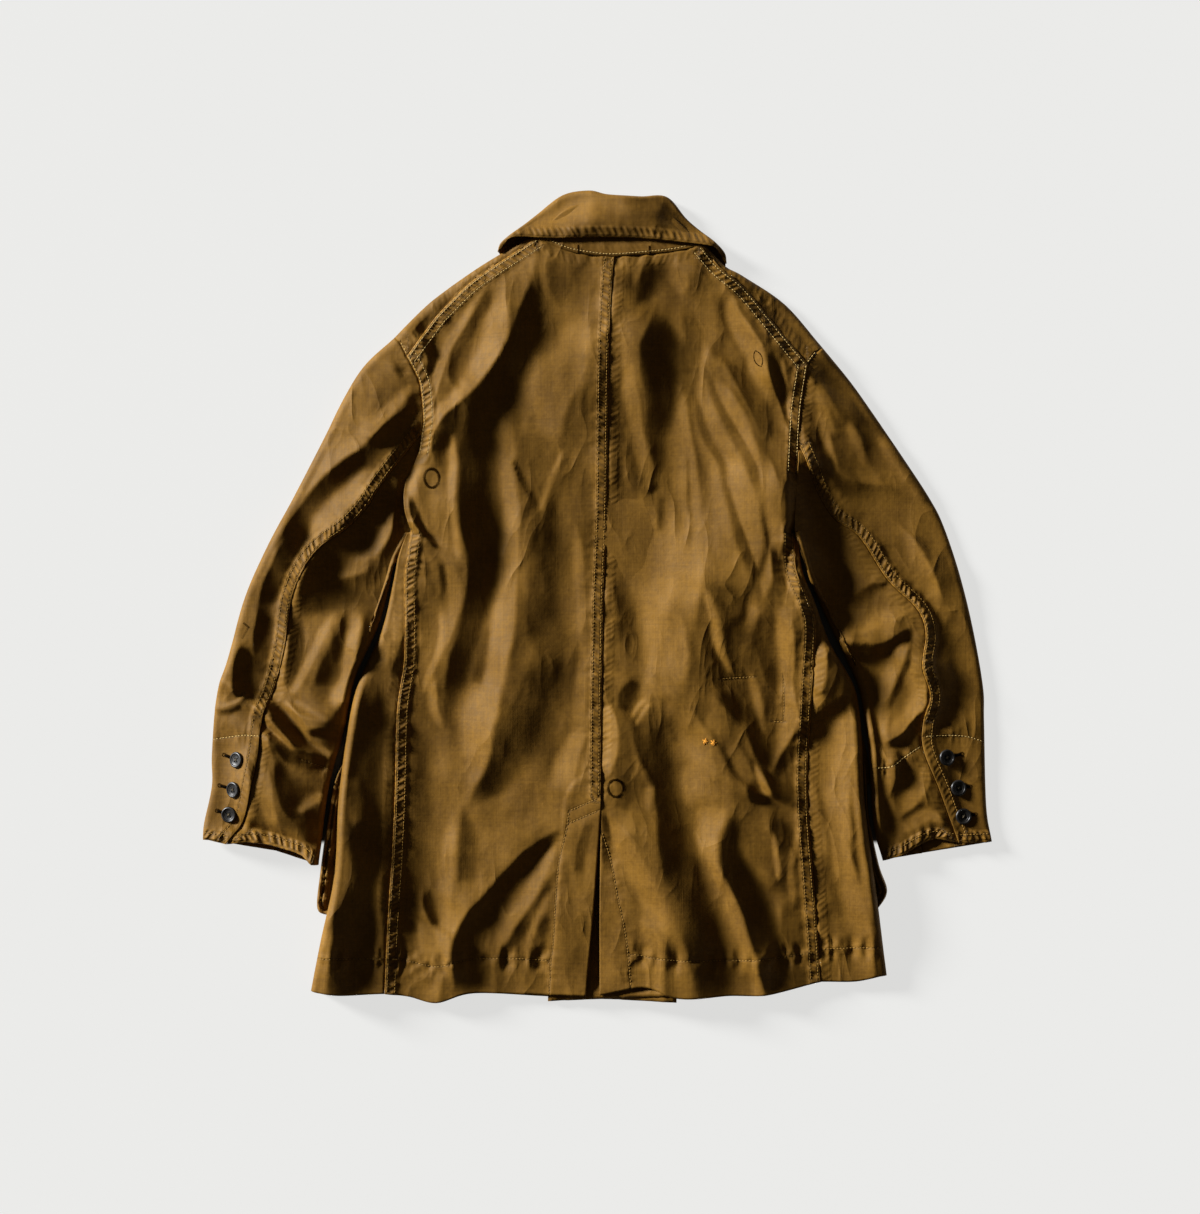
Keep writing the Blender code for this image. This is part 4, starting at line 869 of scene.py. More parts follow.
def weld(grids):
    """The grids as one list of points and faces; points that meet become one."""
    points = np.vstack([grid.reshape(-1, 3) for grid in grids])
    key = np.floor(points / WELD + 0.37).astype(np.int64)
    _, first, number = np.unique(key, axis=0, return_index=True, return_inverse=True)
    number = number.ravel()
    faces, start = [], 0
    for grid in grids:
        rows, columns = grid.shape[:2]
        index = number[start:start + rows * columns].reshape(rows, columns)
        start += rows * columns
        ring = np.stack([index[:-1, :-1], index[:-1, 1:], index[1:, 1:], index[1:, :-1]], -1).reshape(-1, 4)
        faces.append(ring)
    rings = []
    for ring in np.vstack(faces).tolist():
        if len(set(ring)) == 4:
            rings.append(ring)
        else:
            short = [n for k, n in enumerate(ring) if n != ring[k - 1]]
            if len(set(short)) > 2 and len(set(short)) == len(short):
                rings.append(short)
    return points[first], rings


def unit(vectors):
    return vectors / np.maximum(np.linalg.norm(vectors, axis=1), 1e-9)[:, None]


def trim_rim(points, faces):
    """Draws the rim in by half a seam's gap, so that neighbours don't touch."""
    used = {}
    for ring in faces:
        for a, b in zip(ring, ring[1:] + ring[:1]):
            key = (a, b) if a < b else (b, a)
            used[key] = used.get(key, 0) + 1
    rim = np.array([key for key, count in used.items() if count == 1])
    middle, along, count = np.zeros_like(points), np.zeros_like(points), np.zeros(len(points))
    flat = np.array([n for ring in faces for n in ring])
    centre = np.repeat(np.array([points[ring].mean(0) for ring in faces]), [len(r) for r in faces], axis=0)
    np.add.at(middle, flat, centre)
    np.add.at(count, flat, 1)
    inward = middle / np.maximum(count, 1)[:, None] - points
    for column in (0, 1):
        np.add.at(along, rim[:, column], points[rim[:, 1]] - points[rim[:, 0]])
    ends = np.unique(rim)
    line = unit(along[ends])
    step = inward[ends] - line * np.sum(inward[ends] * line, axis=1)[:, None]
    points[ends] += unit(step) * SEAM_GAP / 2
    return points


STITCHED = []          # every row of stitches that shows: its piece, its line in plan, and whether it is pale


def cloth_mesh(name, points, faces):
    """The outer face of a piece, with its normals outward and room for its wall above the floor."""
    mesh = bpy.data.meshes.new(name)
    mesh.from_pydata((points * MM).tolist(), [], faces)
    work = bmesh.new()
    work.from_mesh(mesh)
    bmesh.ops.recalc_face_normals(work, faces=work.faces)
    tall = max(work.faces, key=lambda face: face.calc_center_median().z)
    if (tall.normal.z < 0) == (tall.calc_center_median().z > 0.006):
        bmesh.ops.reverse_faces(work, faces=work.faces)
    work.to_mesh(mesh)
    work.free()
    mesh.update()
    normals = np.empty(points.size)
    mesh.vertex_normals.foreach_get("vector", normals)
    points[:, 2] = np.maximum(points[:, 2], CLOTH * np.clip(normals[2::3], 0, 1))
    mesh.vertices.foreach_set("co", (points * MM).ravel())
    mesh.update()
    return mesh


def link(name, mesh, material):
    """An object of a mesh, in the scene."""
    mesh.materials.append(material)
    item = bpy.data.objects.new(name, mesh)
    bpy.context.scene.collection.objects.link(item)
    return item


def cloth_piece(node, grids, bands, flat, area=None, inside=(0, 0)):
    """A shell of cloth that replaces its CAD node; its flat and area are not used."""
    points, faces = weld(grids)
    x, y = points[:, 0].copy(), points[:, 1].copy()
    name = node + "_cloth"
    mesh = cloth_mesh(name, trim_rim(points, faces), faces)
    lines = stitched_lines(bands, inside)
    rows = row_data(x, y, [line for line, _ in lines])
    for kind, data in (("seam", seam_data(x, y, bands)), ("row", rows)):
        attribute = mesh.attributes.new(kind, "FLOAT_VECTOR", "POINT")
        attribute.data.foreach_set("vector", data.astype(np.float32).ravel())
    mesh.shade_smooth()
    item = link(name, mesh, COAT)
    STITCHED.extend((item, line, pale) for line, pale in lines)
    wall = item.modifiers.new("wall", "SOLIDIFY")
    wall.thickness = CLOTH * MM
    wall.offset = -1
    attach(item, "root")
    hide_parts(node)


# ---------------------------------------------------------------- materials

CLOTH_LIGHT, CLOTH_DARK = (0.184, 0.087, 0.0065), (0.112, 0.050, 0.0022)
THREAD, DULL_THREAD = (0.50, 0.34, 0.12), (0.27, 0.150, 0.035)
ROPE_PITCH = 0.0063    # metres between the pulls along a seam


class Nodes:
    """A material's node tree, built a node at a time; its sizes are in metres."""

    def __init__(self, name):
        self.material = bpy.data.materials.new(name)
        self.material.use_nodes = True
        self.tree = self.material.node_tree
        self.shader = self.tree.nodes["Principled BSDF"]
        self.place = self.add("TexCoord").outputs["Object"]

    def add(self, kind, inputs=(), **settings):
        node = self.tree.nodes.new("ShaderNode" + kind)
        for key, value in settings.items():
            setattr(node, key, value)
        for key, value in dict(inputs).items():
            self.put(value, node.inputs[key])
        return node

    def put(self, value, socket):
        if isinstance(value, bpy.types.NodeSocket):
            self.tree.links.new(value, socket)
        else:
            socket.default_value = value

    def finish(self, sockets):
        """The material, with values or links put into its shader."""
        for name, value in sockets.items():
            self.put(value, self.shader.inputs[name])
        return self.material

    def math(self, operation, a, b=0.0, c=0.0):
        return self.add("Math", {0: a, 1: b, 2: c}, operation=operation).outputs[0]

    def times(self, a, b):
        return self.math("MULTIPLY", a, b)

    def plus(self, a, b):
        return self.math("ADD", a, b)

    def mix(self, share, a, b):
        node = self.add("Mix", {0: share, 6: a, 7: b}, data_type="RGBA")
        return node.outputs[2]

    def ramp(self, value, low, high):
        """0 below low, 1 above high, smooth between."""
        node = self.add("MapRange", {"Value": value, "From Min": low, "From Max": high},
                        interpolation_type="SMOOTHSTEP")
        return node.outputs["Result"]

    def fall(self, value, low, high):
        """1 below low, 0 above high, smooth between."""
        return self.math("SUBTRACT", 1.0, self.ramp(value, low, high))

    def parts(self, vector):
        return self.add("SeparateXYZ", {0: vector}).outputs

    def attribute(self, name):
        return self.parts(self.add("Attribute", attribute_name=name).outputs["Vector"])

    def stretched(self, scales):
        """The place, drawn out by a scale for each axis."""
        return self.add("VectorMath", {0: self.place, 1: scales}, operation="MULTIPLY").outputs[0]

    def noise(self, vector, scale, detail=2.0, rough=0.5):
        node = self.add("TexNoise", {"Vector": vector, "Scale": scale, "Detail": detail, "Roughness": rough})
        return node.outputs["Fac"]

    def bump(self, height, distance, strength=1.0, normal=None):
        node = self.add("Bump", {"Height": height, "Distance": distance, "Strength": strength})
        if normal is not None:
            self.put(normal, node.inputs["Normal"])
        return node.outputs["Normal"]


def rgba(colour, share=1.0):
    return (*(c * share for c in colour), 1.0)


def cloth_material():
    """Washed cotton sateen: mottled, finely woven, roped and rubbed along its seams, with painted shade in
    the troughs of the rope and the grooves of the rows and a painted highlight on each lap's edge.
    """
    n = Nodes("coat_cloth")
    along, across, strength = n.attribute("seam")
    _, from_row, row_nearness = n.attribute("row")

    # The puckered rope of a seam, within its band
    inside = n.times(n.fall(across, 0.0085, 0.0120), strength)
    inside = n.times(inside, n.ramp(across, 0.0010, 0.0030))
    slanted = n.plus(along, n.times(across, 0.55))
    rope_place = n.add("CombineXYZ", {0: slanted, 1: n.times(across, 0.3), 2: strength}).outputs[0]
    drift = n.times(n.noise(rope_place, 45.0, 1.0), 12.0)
    pulls = n.math("SINE", n.plus(n.times(slanted, 2 * math.pi / ROPE_PITCH), drift))
    loose = n.times(n.noise(rope_place, 165.0, 1.5), 0.6)
    rope = n.plus(n.times(pulls, 0.26), n.plus(loose, 0.2))
    # The groove along a row of stitching: a dent in the bump, and darkened colour as painted shade in it
    groove_and_painted_shade = n.times(n.fall(n.math("ABSOLUTE", from_row), 0.0003, 0.0014), row_nearness)
    # The very edge of a lapped band: lightened, partly rubbed pale and partly a painted highlight on its
    # crest
    edge = n.times(n.fall(across, 0.0002, 0.0011), n.ramp(strength, 0.3, 0.5))

    # Colour: mottled, then the threads; then along the seams the rope's crests are rubbed pale and its
    # troughs get painted shade, the rows' grooves get painted shade, and a lap's edge gets wear and a painted
    # highlight
    fine = n.noise(n.place, 260.0, 3.0, 0.6)
    tone = n.plus(n.times(n.noise(n.place, 26.0, 4.0, 0.6), 0.75), n.times(fine, 0.45))
    base = n.mix(n.ramp(tone, 0.38, 0.82), rgba(CLOTH_DARK), rgba(CLOTH_LIGHT))
    slubs, ends = (n.noise(n.stretched(s), 1.0, 2.0, 0.6) for s in ((30.0, 900.0, 30.0), (800.0, 24.0, 24.0)))
    threads = n.plus(slubs, ends)
    for share, colour in (
        (n.times(n.ramp(threads, 1.02, 1.30), 0.20), rgba(CLOTH_LIGHT, 1.35)),
        (n.times(n.ramp(threads, 0.98, 0.72), 0.24), rgba(CLOTH_DARK, 0.6)),
        (n.times(n.times(inside, n.ramp(rope, 0.52, 0.78)), 0.40), rgba(CLOTH_LIGHT, 1.3)),
        # painted shade in the troughs of the rope
        (n.times(n.times(inside, n.ramp(rope, 0.46, 0.26)), 0.55), rgba(CLOTH_DARK, 0.5)),
        # painted shade in the grooves of the rows
        (n.times(groove_and_painted_shade, 0.45), rgba(CLOTH_DARK, 0.4)),
        # wear and a painted highlight on the edge of the lap
        (n.times(edge, n.ramp(rope, 0.35, 0.7)), rgba(CLOTH_LIGHT, 1.5)),
    ):
        base = n.mix(share, base, colour)

    # Relief: fine wrinkles here and there, crumple, threads, rope, grooves of stitching and weave
    weave = n.add("TexWave", {"Vector": n.place, "Scale": 330.0, "Distortion": 0.6, "Detail": 1.0,
                              "Detail Scale": 2.0}, wave_type="BANDS", bands_direction="DIAGONAL")
    wrinkles = n.add("TexNoise", {"Vector": n.stretched((36.0, 17.0, 20.0)), "Scale": 1.0, "Detail": 2.5,
                                  "Roughness": 0.5, "Offset": 0.9, "Gain": 1.0, "Distortion": 0.5},
                     noise_type="RIDGED_MULTIFRACTAL").outputs["Fac"]
    wrinkles = n.times(wrinkles, n.ramp(n.noise(n.place, 11.0, 1.0), 0.40, 0.62))
    normal = n.bump(wrinkles, 0.0015, 0.7)
    for height, distance, share in (
        (n.noise(n.place, 95.0, 4.0, 0.6), 0.0010, 0.4), (threads, 0.00012, 0.7),
        (n.times(inside, rope), 0.0021, 0.7), (n.times(groove_and_painted_shade, -1.0), 0.0004, 0.5),
        (weave.outputs["Fac"], 0.00008, 0.35),
    ):
        normal = n.bump(height, distance, share, normal)
    return n.finish({
        "Base Color": base, "Roughness": n.plus(0.62, n.times(fine, 0.14)), "Normal": normal,
        "Specular IOR Level": 0.30, "Specular Tint": (1.0, 0.92, 0.72, 1),
        "Sheen Weight": 0.03, "Sheen Roughness": 0.4, "Sheen Tint": (0.9, 0.7, 0.4, 1),
    })


def button_material():
    """Dark moulded button with faint marbling."""
    n = Nodes("coat_button")
    swirl = n.noise(n.place, 180.0, 3.0, 0.6)
    return n.finish({
        "Base Color": n.mix(n.ramp(swirl, 0.35, 0.75), (0.004, 0.0036, 0.0034, 1), (0.020, 0.018, 0.016, 1)),
        "Roughness": n.plus(0.30, n.times(swirl, 0.20)), "Specular IOR Level": 0.45,
        "Normal": n.bump(n.noise(n.place, 900.0), 0.0001, 0.25),
    })


def thread_material(name, colour):
    """Dull spun thread."""
    n = Nodes(name)
    return n.finish({
        "Base Color": n.mix(n.noise(n.place, 320.0), rgba(colour, 0.7), rgba(colour, 1.25)),
        "Roughness": 0.75, "Specular IOR Level": 0.0,
        "Normal": n.bump(n.noise(n.place, 2600.0), 0.0001, 0.5),
    })


COAT = cloth_material()

# ---------------------------------------------------------------- the body

ROWS_SHOULDER = steps_for([LEFT["shoulder_seam"]])
BACK_ROWS = {
    "left": [
        row([(-46, -346), (-85, -344), (-125, -345), (-153, -351), (-180, -346), (-196, -344)], 1.3, 11),
        row([(-28.6, -217), (-37, -255), (-40, -292), (-42, -328), (-44, -345), (-46, -379)]),
        row([(1, -190), (-27, -203)], 0.1), row([(1, -202), (-28, -215)], 0.1),
        row([(-27, -203), (-28.6, -217)], 0.1),
    ],
    "right": [
        row([(33, -339), (60, -343), (97, -345), (154, -344), (206, -338)], 1.3, 10),
        row([(4, -222), (12.5, -250), (19, -284), (27, -323), (32, -372)]),
        row([(176, -75), (177, -100), (176, -119)], 0.2), row([(178, -119), (166, -119)], 0.1),
        row([(117, -78), (150, -76)], 0.1),
    ],
}
STRIP_ROWS = {
    "left": [row([(-203, -344), (-240, -343), (-266, -342)], 1.3, 10)],
    "right": [row([(213, -335), (240, -334), (268, -333)], 1.3, 10)],
}


def back(side, flat, area):
    """Half of the back: centre seam and vent, hem, side seam, armhole, shoulder and neck."""
    cut = CUTS[side]
    middle, top = [CENTRE_SEAM, cut["vent"]], [cut["neck"], cut["shoulder_seam"]]
    outer = [cut["armhole_top"], cut["armhole_low"], cut["side_seam"]]
    rows, columns = steps_for(middle), steps_for(top)
    plan = coons(seam(top, columns, 0.4, 0.4), seam([cut["hem"]], columns, 0.4, 0.4),
                 seam(middle, rows), seam(outer, rows))
    lapped = side == "left"
    bands = [
        band(CENTRE_SEAM[:-1] + [(3.5, -188)], lapped, rise=0.45, pale=False),
        band(cut["shoulder_seam"], True),
        band(cut["armhole_top"] + cut["armhole_low"][1:2], True, rope=0.8, rows=ARMHOLE_ROWS),
        band(cut["side_seam"], True, pale=False), band(cut["neck"], False), *BACK_ROWS[side],
    ]
    if lapped:
        bands.append(band(cut["vent"], True, width=VENT_FACING, rise=1.0, rope=0, rows=()))
    centre = (cut["side_seam"][0][0] / 2, 0)
    cloth_piece("back_" + side, [on_surface(plan, surface("body", bands))], bands, flat,
                area, centre)


def shoulder_start(cut):
    """Where the cloth starts to turn over the shoulder; its last point is the top of the armhole."""
    return fold_start(cut["shoulder_fold"], "shoulder_fold", ROWS_SHOULDER, BODY_MIDDLE)


def front(side, height, flat, area):
    """A front: it lies underneath, and wraps over the shoulder and round the side to the back."""
    cut = CUTS[side]
    hidden = cut["armhole_hidden"]
    shoulder, shoulder_out, shoulder_reach = shoulder_start(cut)
    tip = tuple(shoulder[-1])
    over_shoulder = ladder(seam([cut["shoulder_seam"]], ROWS_SHOULDER), shoulder, 12)
    rows, columns = steps_for([cut["side_seam"]]), 26
    side_line, side_out, side_reach = fold_start(cut["side_fold"], "side_fold", rows, BODY_MIDDLE)
    side_seam = seam([cut["side_seam"]], rows)
    over_side = coons(straight(side_seam[0], side_line[0], columns),
                      seam([cut["hem_side"] + [tuple(side_line[-1])]], columns), side_seam, side_line)
    outer = np.vstack([seam([[tip] + hidden[:2], hidden[1:] + [tuple(side_line[0])]], 24), side_line[1:]])
    turn, corner = (cut["front_edge"], LAPEL_BREAK), (cut["front_edge"], FRONT_HEM)
    free = seam([[tuple(shoulder[0]), turn], [turn, corner]], len(outer) - 1)
    hem = seam([[tuple(side_line[-1])] + cut["front_hem"] + [corner]], ROWS_SHOULDER)
    bands = [band(cut["shoulder_seam"], False), band(cut["side_seam"], False, rope=0.5), *STRIP_ROWS[side],
             band([cut["armhole_top"][0], tip], True, width=5, rise=0.3, rope=0.4, rows=(1.2,))]
    high = surface("body", bands)
    grids = [
        on_surface(over_side, high), rolled(side_line, side_out, side_reach, height, high),
        on_surface(over_shoulder, high), rolled(shoulder, shoulder_out, shoulder_reach, height, high),
        on_surface(coons(shoulder[::-1], hem, outer, free), height),
    ]
    cloth_piece("front_" + side, grids, bands, flat, area)


def folded_edge(outer):
    """A pocket's outer edge stands in narrow upright folds where it shows beside the coat."""
    line = smooth(outer)

    def height(x, y):
        distance, along, _ = nearest(x, y, line)
        crests = abs(np.sin(math.pi * distance / EDGE_FOLD)) ** 1.3 * (1 - soft_step(9.0, 12.0, distance))
        low_end = soft_step(0.75, 0.95, along / run_of(line)[-1])
        crumpled = 1 + (0.25 + 0.5 * low_end) * pucker(along, distance, 31)
        return LAYER * soft_step(0, 4, distance) + EDGE_STANDS * crests * crumpled.clip(0.2, 1.5)
    return height


def flat_piece(node, edges, height, flat, across=20, along=30):
    """A pocket, flap or lapel: it lies under a front, between two edges."""
    points = on_surface(ladder(*(seam([edge], along) for edge in edges), across), height)
    points[..., 2] += CLOTH
    cloth_piece(node, [points], (), flat)


# ---------------------------------------------------------------- sleeves

CUFF_ROWS = {
    "upper_sleeve_left": [row([(-367, -136), (-350, -133.5), (-335, -131.5), (-319, -132)], pale=True)],
    "under_sleeve_left": [row([(-317, -132), (-309, -130)]),
                          row([(-282, -154), (-266, -160), (-250, -166)], 0.8)],
    "upper_sleeve_right": [row([(310, -133), (330, -132), (350, -133), (367, -138)], pale=True)],
    "under_sleeve_right": [row([(264, -163), (279, -161), (292, -152), (307, -142)], 0.8, pale=True)],
}


def cuff_hem(points, width, rope):
    return band(points, True, width=width, rise=0.4, rope=rope, rows=(7.5,), pale=False)


def wrapped(top_edge, fold, first, last, hidden_edge, low, high):
    """Grids that run from the top edge over a fold to the hidden edge underneath."""
    start, out, reach = fold
    return [
        on_surface(coons(first[0], last[0], top_edge, start), high),
        rolled(start, out, reach, low, high),
        on_surface(coons(first[1], last[1], start, hidden_edge), low),
    ]


def open_cuff(hem):
    """The lower layer of a sleeve lies on the ground, and its puckered hem stands a little open."""
    def height(x, y):
        distance, along, _ = nearest(x, y, hem)
        return CUFF_STANDS * bell(distance, 13) * (1 + 0.12 * pucker(along, distance, 21))
    return height


def sunken(height, line):
    """The cloth that lies under an opening sinks away below it."""
    def lower(x, y):
        return height(x, y) - 1.1 * bell(nearest(x, y, line)[0], 6)
    return lower


def sleeves(side, upper_cut, under_cut):
    """The upper sleeve wraps the outer fold of the arm and the under sleeve the inner fold."""
    cut = CUTS[side]
    upper_name, under_name, under = "upper_sleeve_" + side, "under_sleeve_" + side, 10
    rows = steps_for([cut["elbow_seam"]], FINER)
    elbow, hidden = seam([cut["elbow_seam"]], rows), seam([cut["front_sleeve_seam"]], rows)
    half_way = rows // 2
    middle = tuple(elbow[half_way])
    hole = cut["armhole_hidden"]

    outer = fold_start(cut["sleeve_fold"], "sleeve_fold", rows, middle)
    tip = tuple(shoulder_start(cut)[0][-1])
    outer[0][0] = tip
    columns = 44
    over = seam([cut["armhole_top"][::-1], [cut["armhole_top"][0], tip]], columns, 0.3)
    cuff = straight(elbow[-1], outer[0][-1], columns, 0.3)
    below = seam([[tip] + hole[:2]], under)
    under_cuff = straight(outer[0][-1], hidden[-1], under)
    above, slit = ([p for p in cut["elbow_seam"] if (p[1] > CUFF_SLIT) == sewn] for sewn in (True, False))
    placket = [above[-1]] + slit
    bands = [band(above, True, pale=False), band(placket, True, rope=0.3, rows=(PLACKET_ROW,), pale=False),
             band(cut["armhole_top"], False), *CUFF_ROWS[upper_name],
             cuff_hem([cut["elbow_seam"][-1], cut["sleeve_fold"][-1]], 8, 1.2)]
    high = surface("arm_" + side, bands)
    grids = wrapped(elbow, outer, (over, below), (cuff, under_cuff), hidden, open_cuff(under_cuff), high)
    flat, area = upper_cut
    centre = (elbow[half_way] + outer[0][half_way]) / 2
    cloth_piece(upper_name, grids, bands, flat, area, centre)

    inner = fold_start(cut["inner_fold"], "inner_fold", rows, middle)
    armpit, wrist = tuple(inner[0][0]), tuple(inner[0][-1])
    columns = 40
    over = seam([cut["armhole_low"], [cut["armhole_low"][-1], armpit]], columns, 0.3)
    cuff = seam([cut["cuff_under"] + [wrist]], columns, 0.3)
    below = seam([[armpit] + hole[:0:-1]], under)
    under_cuff = straight(wrist, hidden[-1], under)
    bands = [band(cut["elbow_seam"], False, rope=0.4), band(cut["armhole_low"], False),
             *CUFF_ROWS[under_name], cuff_hem(cut["cuff_under"] + [wrist], 7, 1.4)]
    high = sunken(surface("arm_" + side, bands), smooth(placket))
    grids = wrapped(elbow, inner, (over, below), (cuff, under_cuff), hidden, open_cuff(under_cuff), high)
    flat, area = under_cut
    centre = (elbow[half_way] + inner[0][half_way]) / 2
    cloth_piece(under_name, grids, bands, flat, area, centre)


# ---------------------------------------------------------------- collar

def collar_leaf():
    """The leaf is folded all along its outline."""
    rows = 130
    fold = fold_start(COLLAR["fold"], "collar", rows, COLLAR_MIDDLE)
    edge, hidden = (seam([COLLAR[key]], rows) for key in ("leaf_edge", "hidden_edge"))
    ends = [(straight(edge[k], fold[0][k], 24), straight(fold[0][k], hidden[k], 10)) for k in (0, -1)]
    bands = [band(COLLAR["leaf_edge"], True, width=9, rise=0.4, rope=0.5, rows=(9.0,), pale=False)]
    leaf = wrapped(edge, fold, ends[0], ends[1], hidden, ground, surface("collar", bands))
    cloth_piece("collar_leaf", leaf, bands, (0.235, 0.085), inside=COLLAR_MIDDLE)


def collar_stand():
    """The stand rises from the neck seam inside the leaf."""
    neck = np.vstack([seam([LEFT["neck"]], 36)[::-1], seam([RIGHT["neck"]], 36)[1:]])
    rim = seam([COLLAR["stand_top"]], len(neck) - 1)
    plan = coons(neck, rim, straight(neck[0], rim[0], 16), straight(neck[-1], rim[-1], 16))
    points = on_surface(plan, surface("body"))
    inside = np.linspace(0, 1, len(plan))[:, None]
    points[..., 2] = points[..., 2] * (1 - inside) + STAND_TIP * inside
    bands = [band(NECK, True, width=6, rise=0.3, rope=0.15, rows=(3.0,))]
    cloth_piece("collar_stand", [points], bands, (0.155, 0.036),
                inside=(15, 348))


# ---------------------------------------------------------------- the cut sizes, in metres, and making it

back("left", (0.215, 0.72), 0.132)
back("right", (0.215, 0.72), 0.132)
front("left", outer_front_height, (0.40, 0.73), 0.210)
front("right", inner_front_height, (0.37, 0.73), 0.195)
SLEEVE_CUTS = {
    "left": (((0.18, 0.56), 0.070), ((0.13, 0.45), 0.045)),
    "right": (((0.18, 0.56), 0.072), ((0.13, 0.45), 0.041)),
}
for side, cut in CUTS.items():
    sleeves(side, *SLEEVE_CUTS[side])
    flat_piece("pocket_" + side, (cut["pocket_outer"], cut["pocket_inner"]), folded_edge(cut["pocket_outer"]),
               (0.145, 0.15), 100, 60)
    flat_piece("flap_" + side, (cut["flap_outer"], cut["flap_inner"]), ground, (0.14, 0.046))
    flat_piece("lapel_" + side, (cut["lapel_fold"], cut["lapel_edge"]), ground, (0.065, 0.15))
collar_leaf()
collar_stand()

# ---------------------------------------------------------------- stitches

STITCH, PITCH, THREAD_RADIUS = 2.9, 3.1, 0.37
SPINDLE = ([(0, 1 + (k + 1) % 4, 1 + k) for k in range(4)]
           + [(1 + k, 1 + (k + 1) % 4, 5 + (k + 1) % 4, 5 + k) for k in range(4)]
           + [(9, 5 + k, 5 + (k + 1) % 4) for k in range(4)])


class Mesh:
    """Points and faces of many small things that become one object."""

    def __init__(self):
        self.points, self.faces = [], []

    def add(self, points, faces):
        start = len(self.points)
        self.points.extend(points)
        self.faces.extend([start + k for k in ring] for ring in faces)

    def stitch(self, first, last, up, radius):
        """One stitch: thread that dips into the cloth at both ends."""
        thick = radius * MM
        side = (last - first).cross(up).normalized() * thick
        rise = up * thick
        points = [first - rise * 0.6]
        for share in (0.22, 0.78):
            centre = first.lerp(last, share) + rise * 0.35
            points += [centre + side, centre + rise, centre - side, centre - rise]
        points.append(last - rise * 0.6)
        self.add(points, SPINDLE)

    def laid(self, tree, first, last, radius, lift=0.0, far_lift=0.0):
        """One stitch on a cloth, from place to place in plan, where there is cloth under both."""
        (a, up), (b, _) = drop(tree, *first), drop(tree, *last)
        if a and b:
            self.stitch(a + up * lift * MM, b + up * far_lift * MM, up, radius)

    def make(self, name, material, slot="cloth"):
        mesh = bpy.data.meshes.new(name)
        mesh.from_pydata(self.points, [], self.faces)
        mesh.shade_smooth()
        item = link(name, mesh, material)
        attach(item, "root")
        return item


def cloth_tree(item):
    """A piece's outer face, for laying things on it."""
    faces = [tuple(face.vertices) for face in item.data.polygons]
    return BVHTree.FromPolygons([vertex.co for vertex in item.data.vertices], faces)


def drop(tree, x, y):
    """The point of a cloth under a place in plan, and its normal; None where there is no cloth."""
    spot, normal, _, _ = tree.ray_cast(Vector((x * MM, y * MM, 0.1)), Vector((0, 0, -1)))
    if spot is None or spot.z < FLOOR_OF_FOLDS * MM * 0.3:
        return None, None
    return spot, normal if normal.z > 0 else -normal


TREES = {item.name: cloth_tree(item) for item in dict.fromkeys(item for item, _, _ in STITCHED)}
THREAD_DRAW = np.random.default_rng(7)


def row_of_stitches(mesh, tree, line):
    starts = np.arange(PITCH / 2, run_of(line)[-1] - STITCH, PITCH)
    starts = starts + THREAD_DRAW.uniform(-0.25, 0.25, len(starts))
    for first, last in zip(at(line, starts), at(line, starts + STITCH)):
        mesh.laid(tree, first, last, THREAD_RADIUS)


pale_rows, dull_rows = Mesh(), Mesh()
for item, line, pale in STITCHED:
    row_of_stitches(pale_rows if pale else dull_rows, TREES[item.name], line)
pale_rows.make("seam_stitches", thread_material("seam_thread", THREAD))
dull_rows.make("plain_stitches", thread_material("plain_thread", DULL_THREAD))

# ---------------------------------------------------------------- buttons

#       radius, height: the well with its step, the rolled rim, the side and the back
BUTTON_PROFILE = [
    (0.01, 1.6), (3.4, 1.6), (3.75, 1.62), (4.0, 1.75), (4.15, 1.95), (4.35, 2.02), (5.15, 2.02), (5.35, 2.1),
    (5.55, 2.4), (5.85, 2.68), (6.3, 2.8), (6.8, 2.72), (7.3, 2.4), (7.65, 1.9), (7.75, 1.4), (7.6, 0.9),
    (6.9, 0.35), (4.0, 0.1), (0.01, 0.1),
]
HOLE_RADIUS, HOLE_SPREAD, HOLE_LEVEL = 0.8, 1.5, 1.65
#       x, y of the button, and of the eye of its buttonhole
CUFF_BUTTONS = {
    "left": [((-341.5, -155.0), (-355, -150.5)), ((-344.5, -183.3), (-359.5, -179.5)),
             ((-349.5, -207.3), (-362, -203.5))],
    "right": [((331.5, -153.0), (346, -149.5)), ((342.5, -182.0), (354, -180.5)),
              ((347.5, -209.0), (359, -207))],
}
BUTTON = button_material()
# Near black: painted shade inside the buttons' holes and the buttonhole slits
HOLE_SHADE = thread_material("button_hole_shade", (0.004, 0.003, 0.002))
BUTTON_THREAD = thread_material("button_thread", (0.10, 0.08, 0.05))


def lathe(mesh, profile, place, steps=40):
    """A turned form, from the radius and height of its profile; the first point is the middle of the top."""
    points = []
    for radius, height in profile:
        for k in range(steps):
            turn = 2 * math.pi * k / steps
            spot = Vector((radius * MM * math.cos(turn), radius * MM * math.sin(turn), height * MM))
            points.append(place @ spot)
    starts = range(0, (len(profile) - 1) * steps, steps)
    faces = [(start + k, start + steps + k, start + steps + (k + 1) % steps, start + (k + 1) % steps)
             for start in starts for k in range(steps)]
    mesh.add(points, faces)


def seat(tree, x, y, radius=6):
    """Where a button sits: on the highest cloth under it, leaning with the cloth."""
    spots = [drop(tree, x, y)]
    for k in range(8):
        turn = k * math.pi / 4
        spots.append(drop(tree, x + radius * math.cos(turn), y + radius * math.sin(turn)))
    spots = [(spot, up) for spot, up in spots if spot]
    up = sum((up for _, up in spots), Vector()).normalized()
    middle = spots[0][0]
    rise = max(max((spot - middle).dot(up) for spot, _ in spots), 0) * 0.6
    turn = up.to_track_quat("Z", "Y").to_matrix().to_4x4()
    return Matrix.Translation(middle + up * (rise + 0.1 * MM)) @ turn


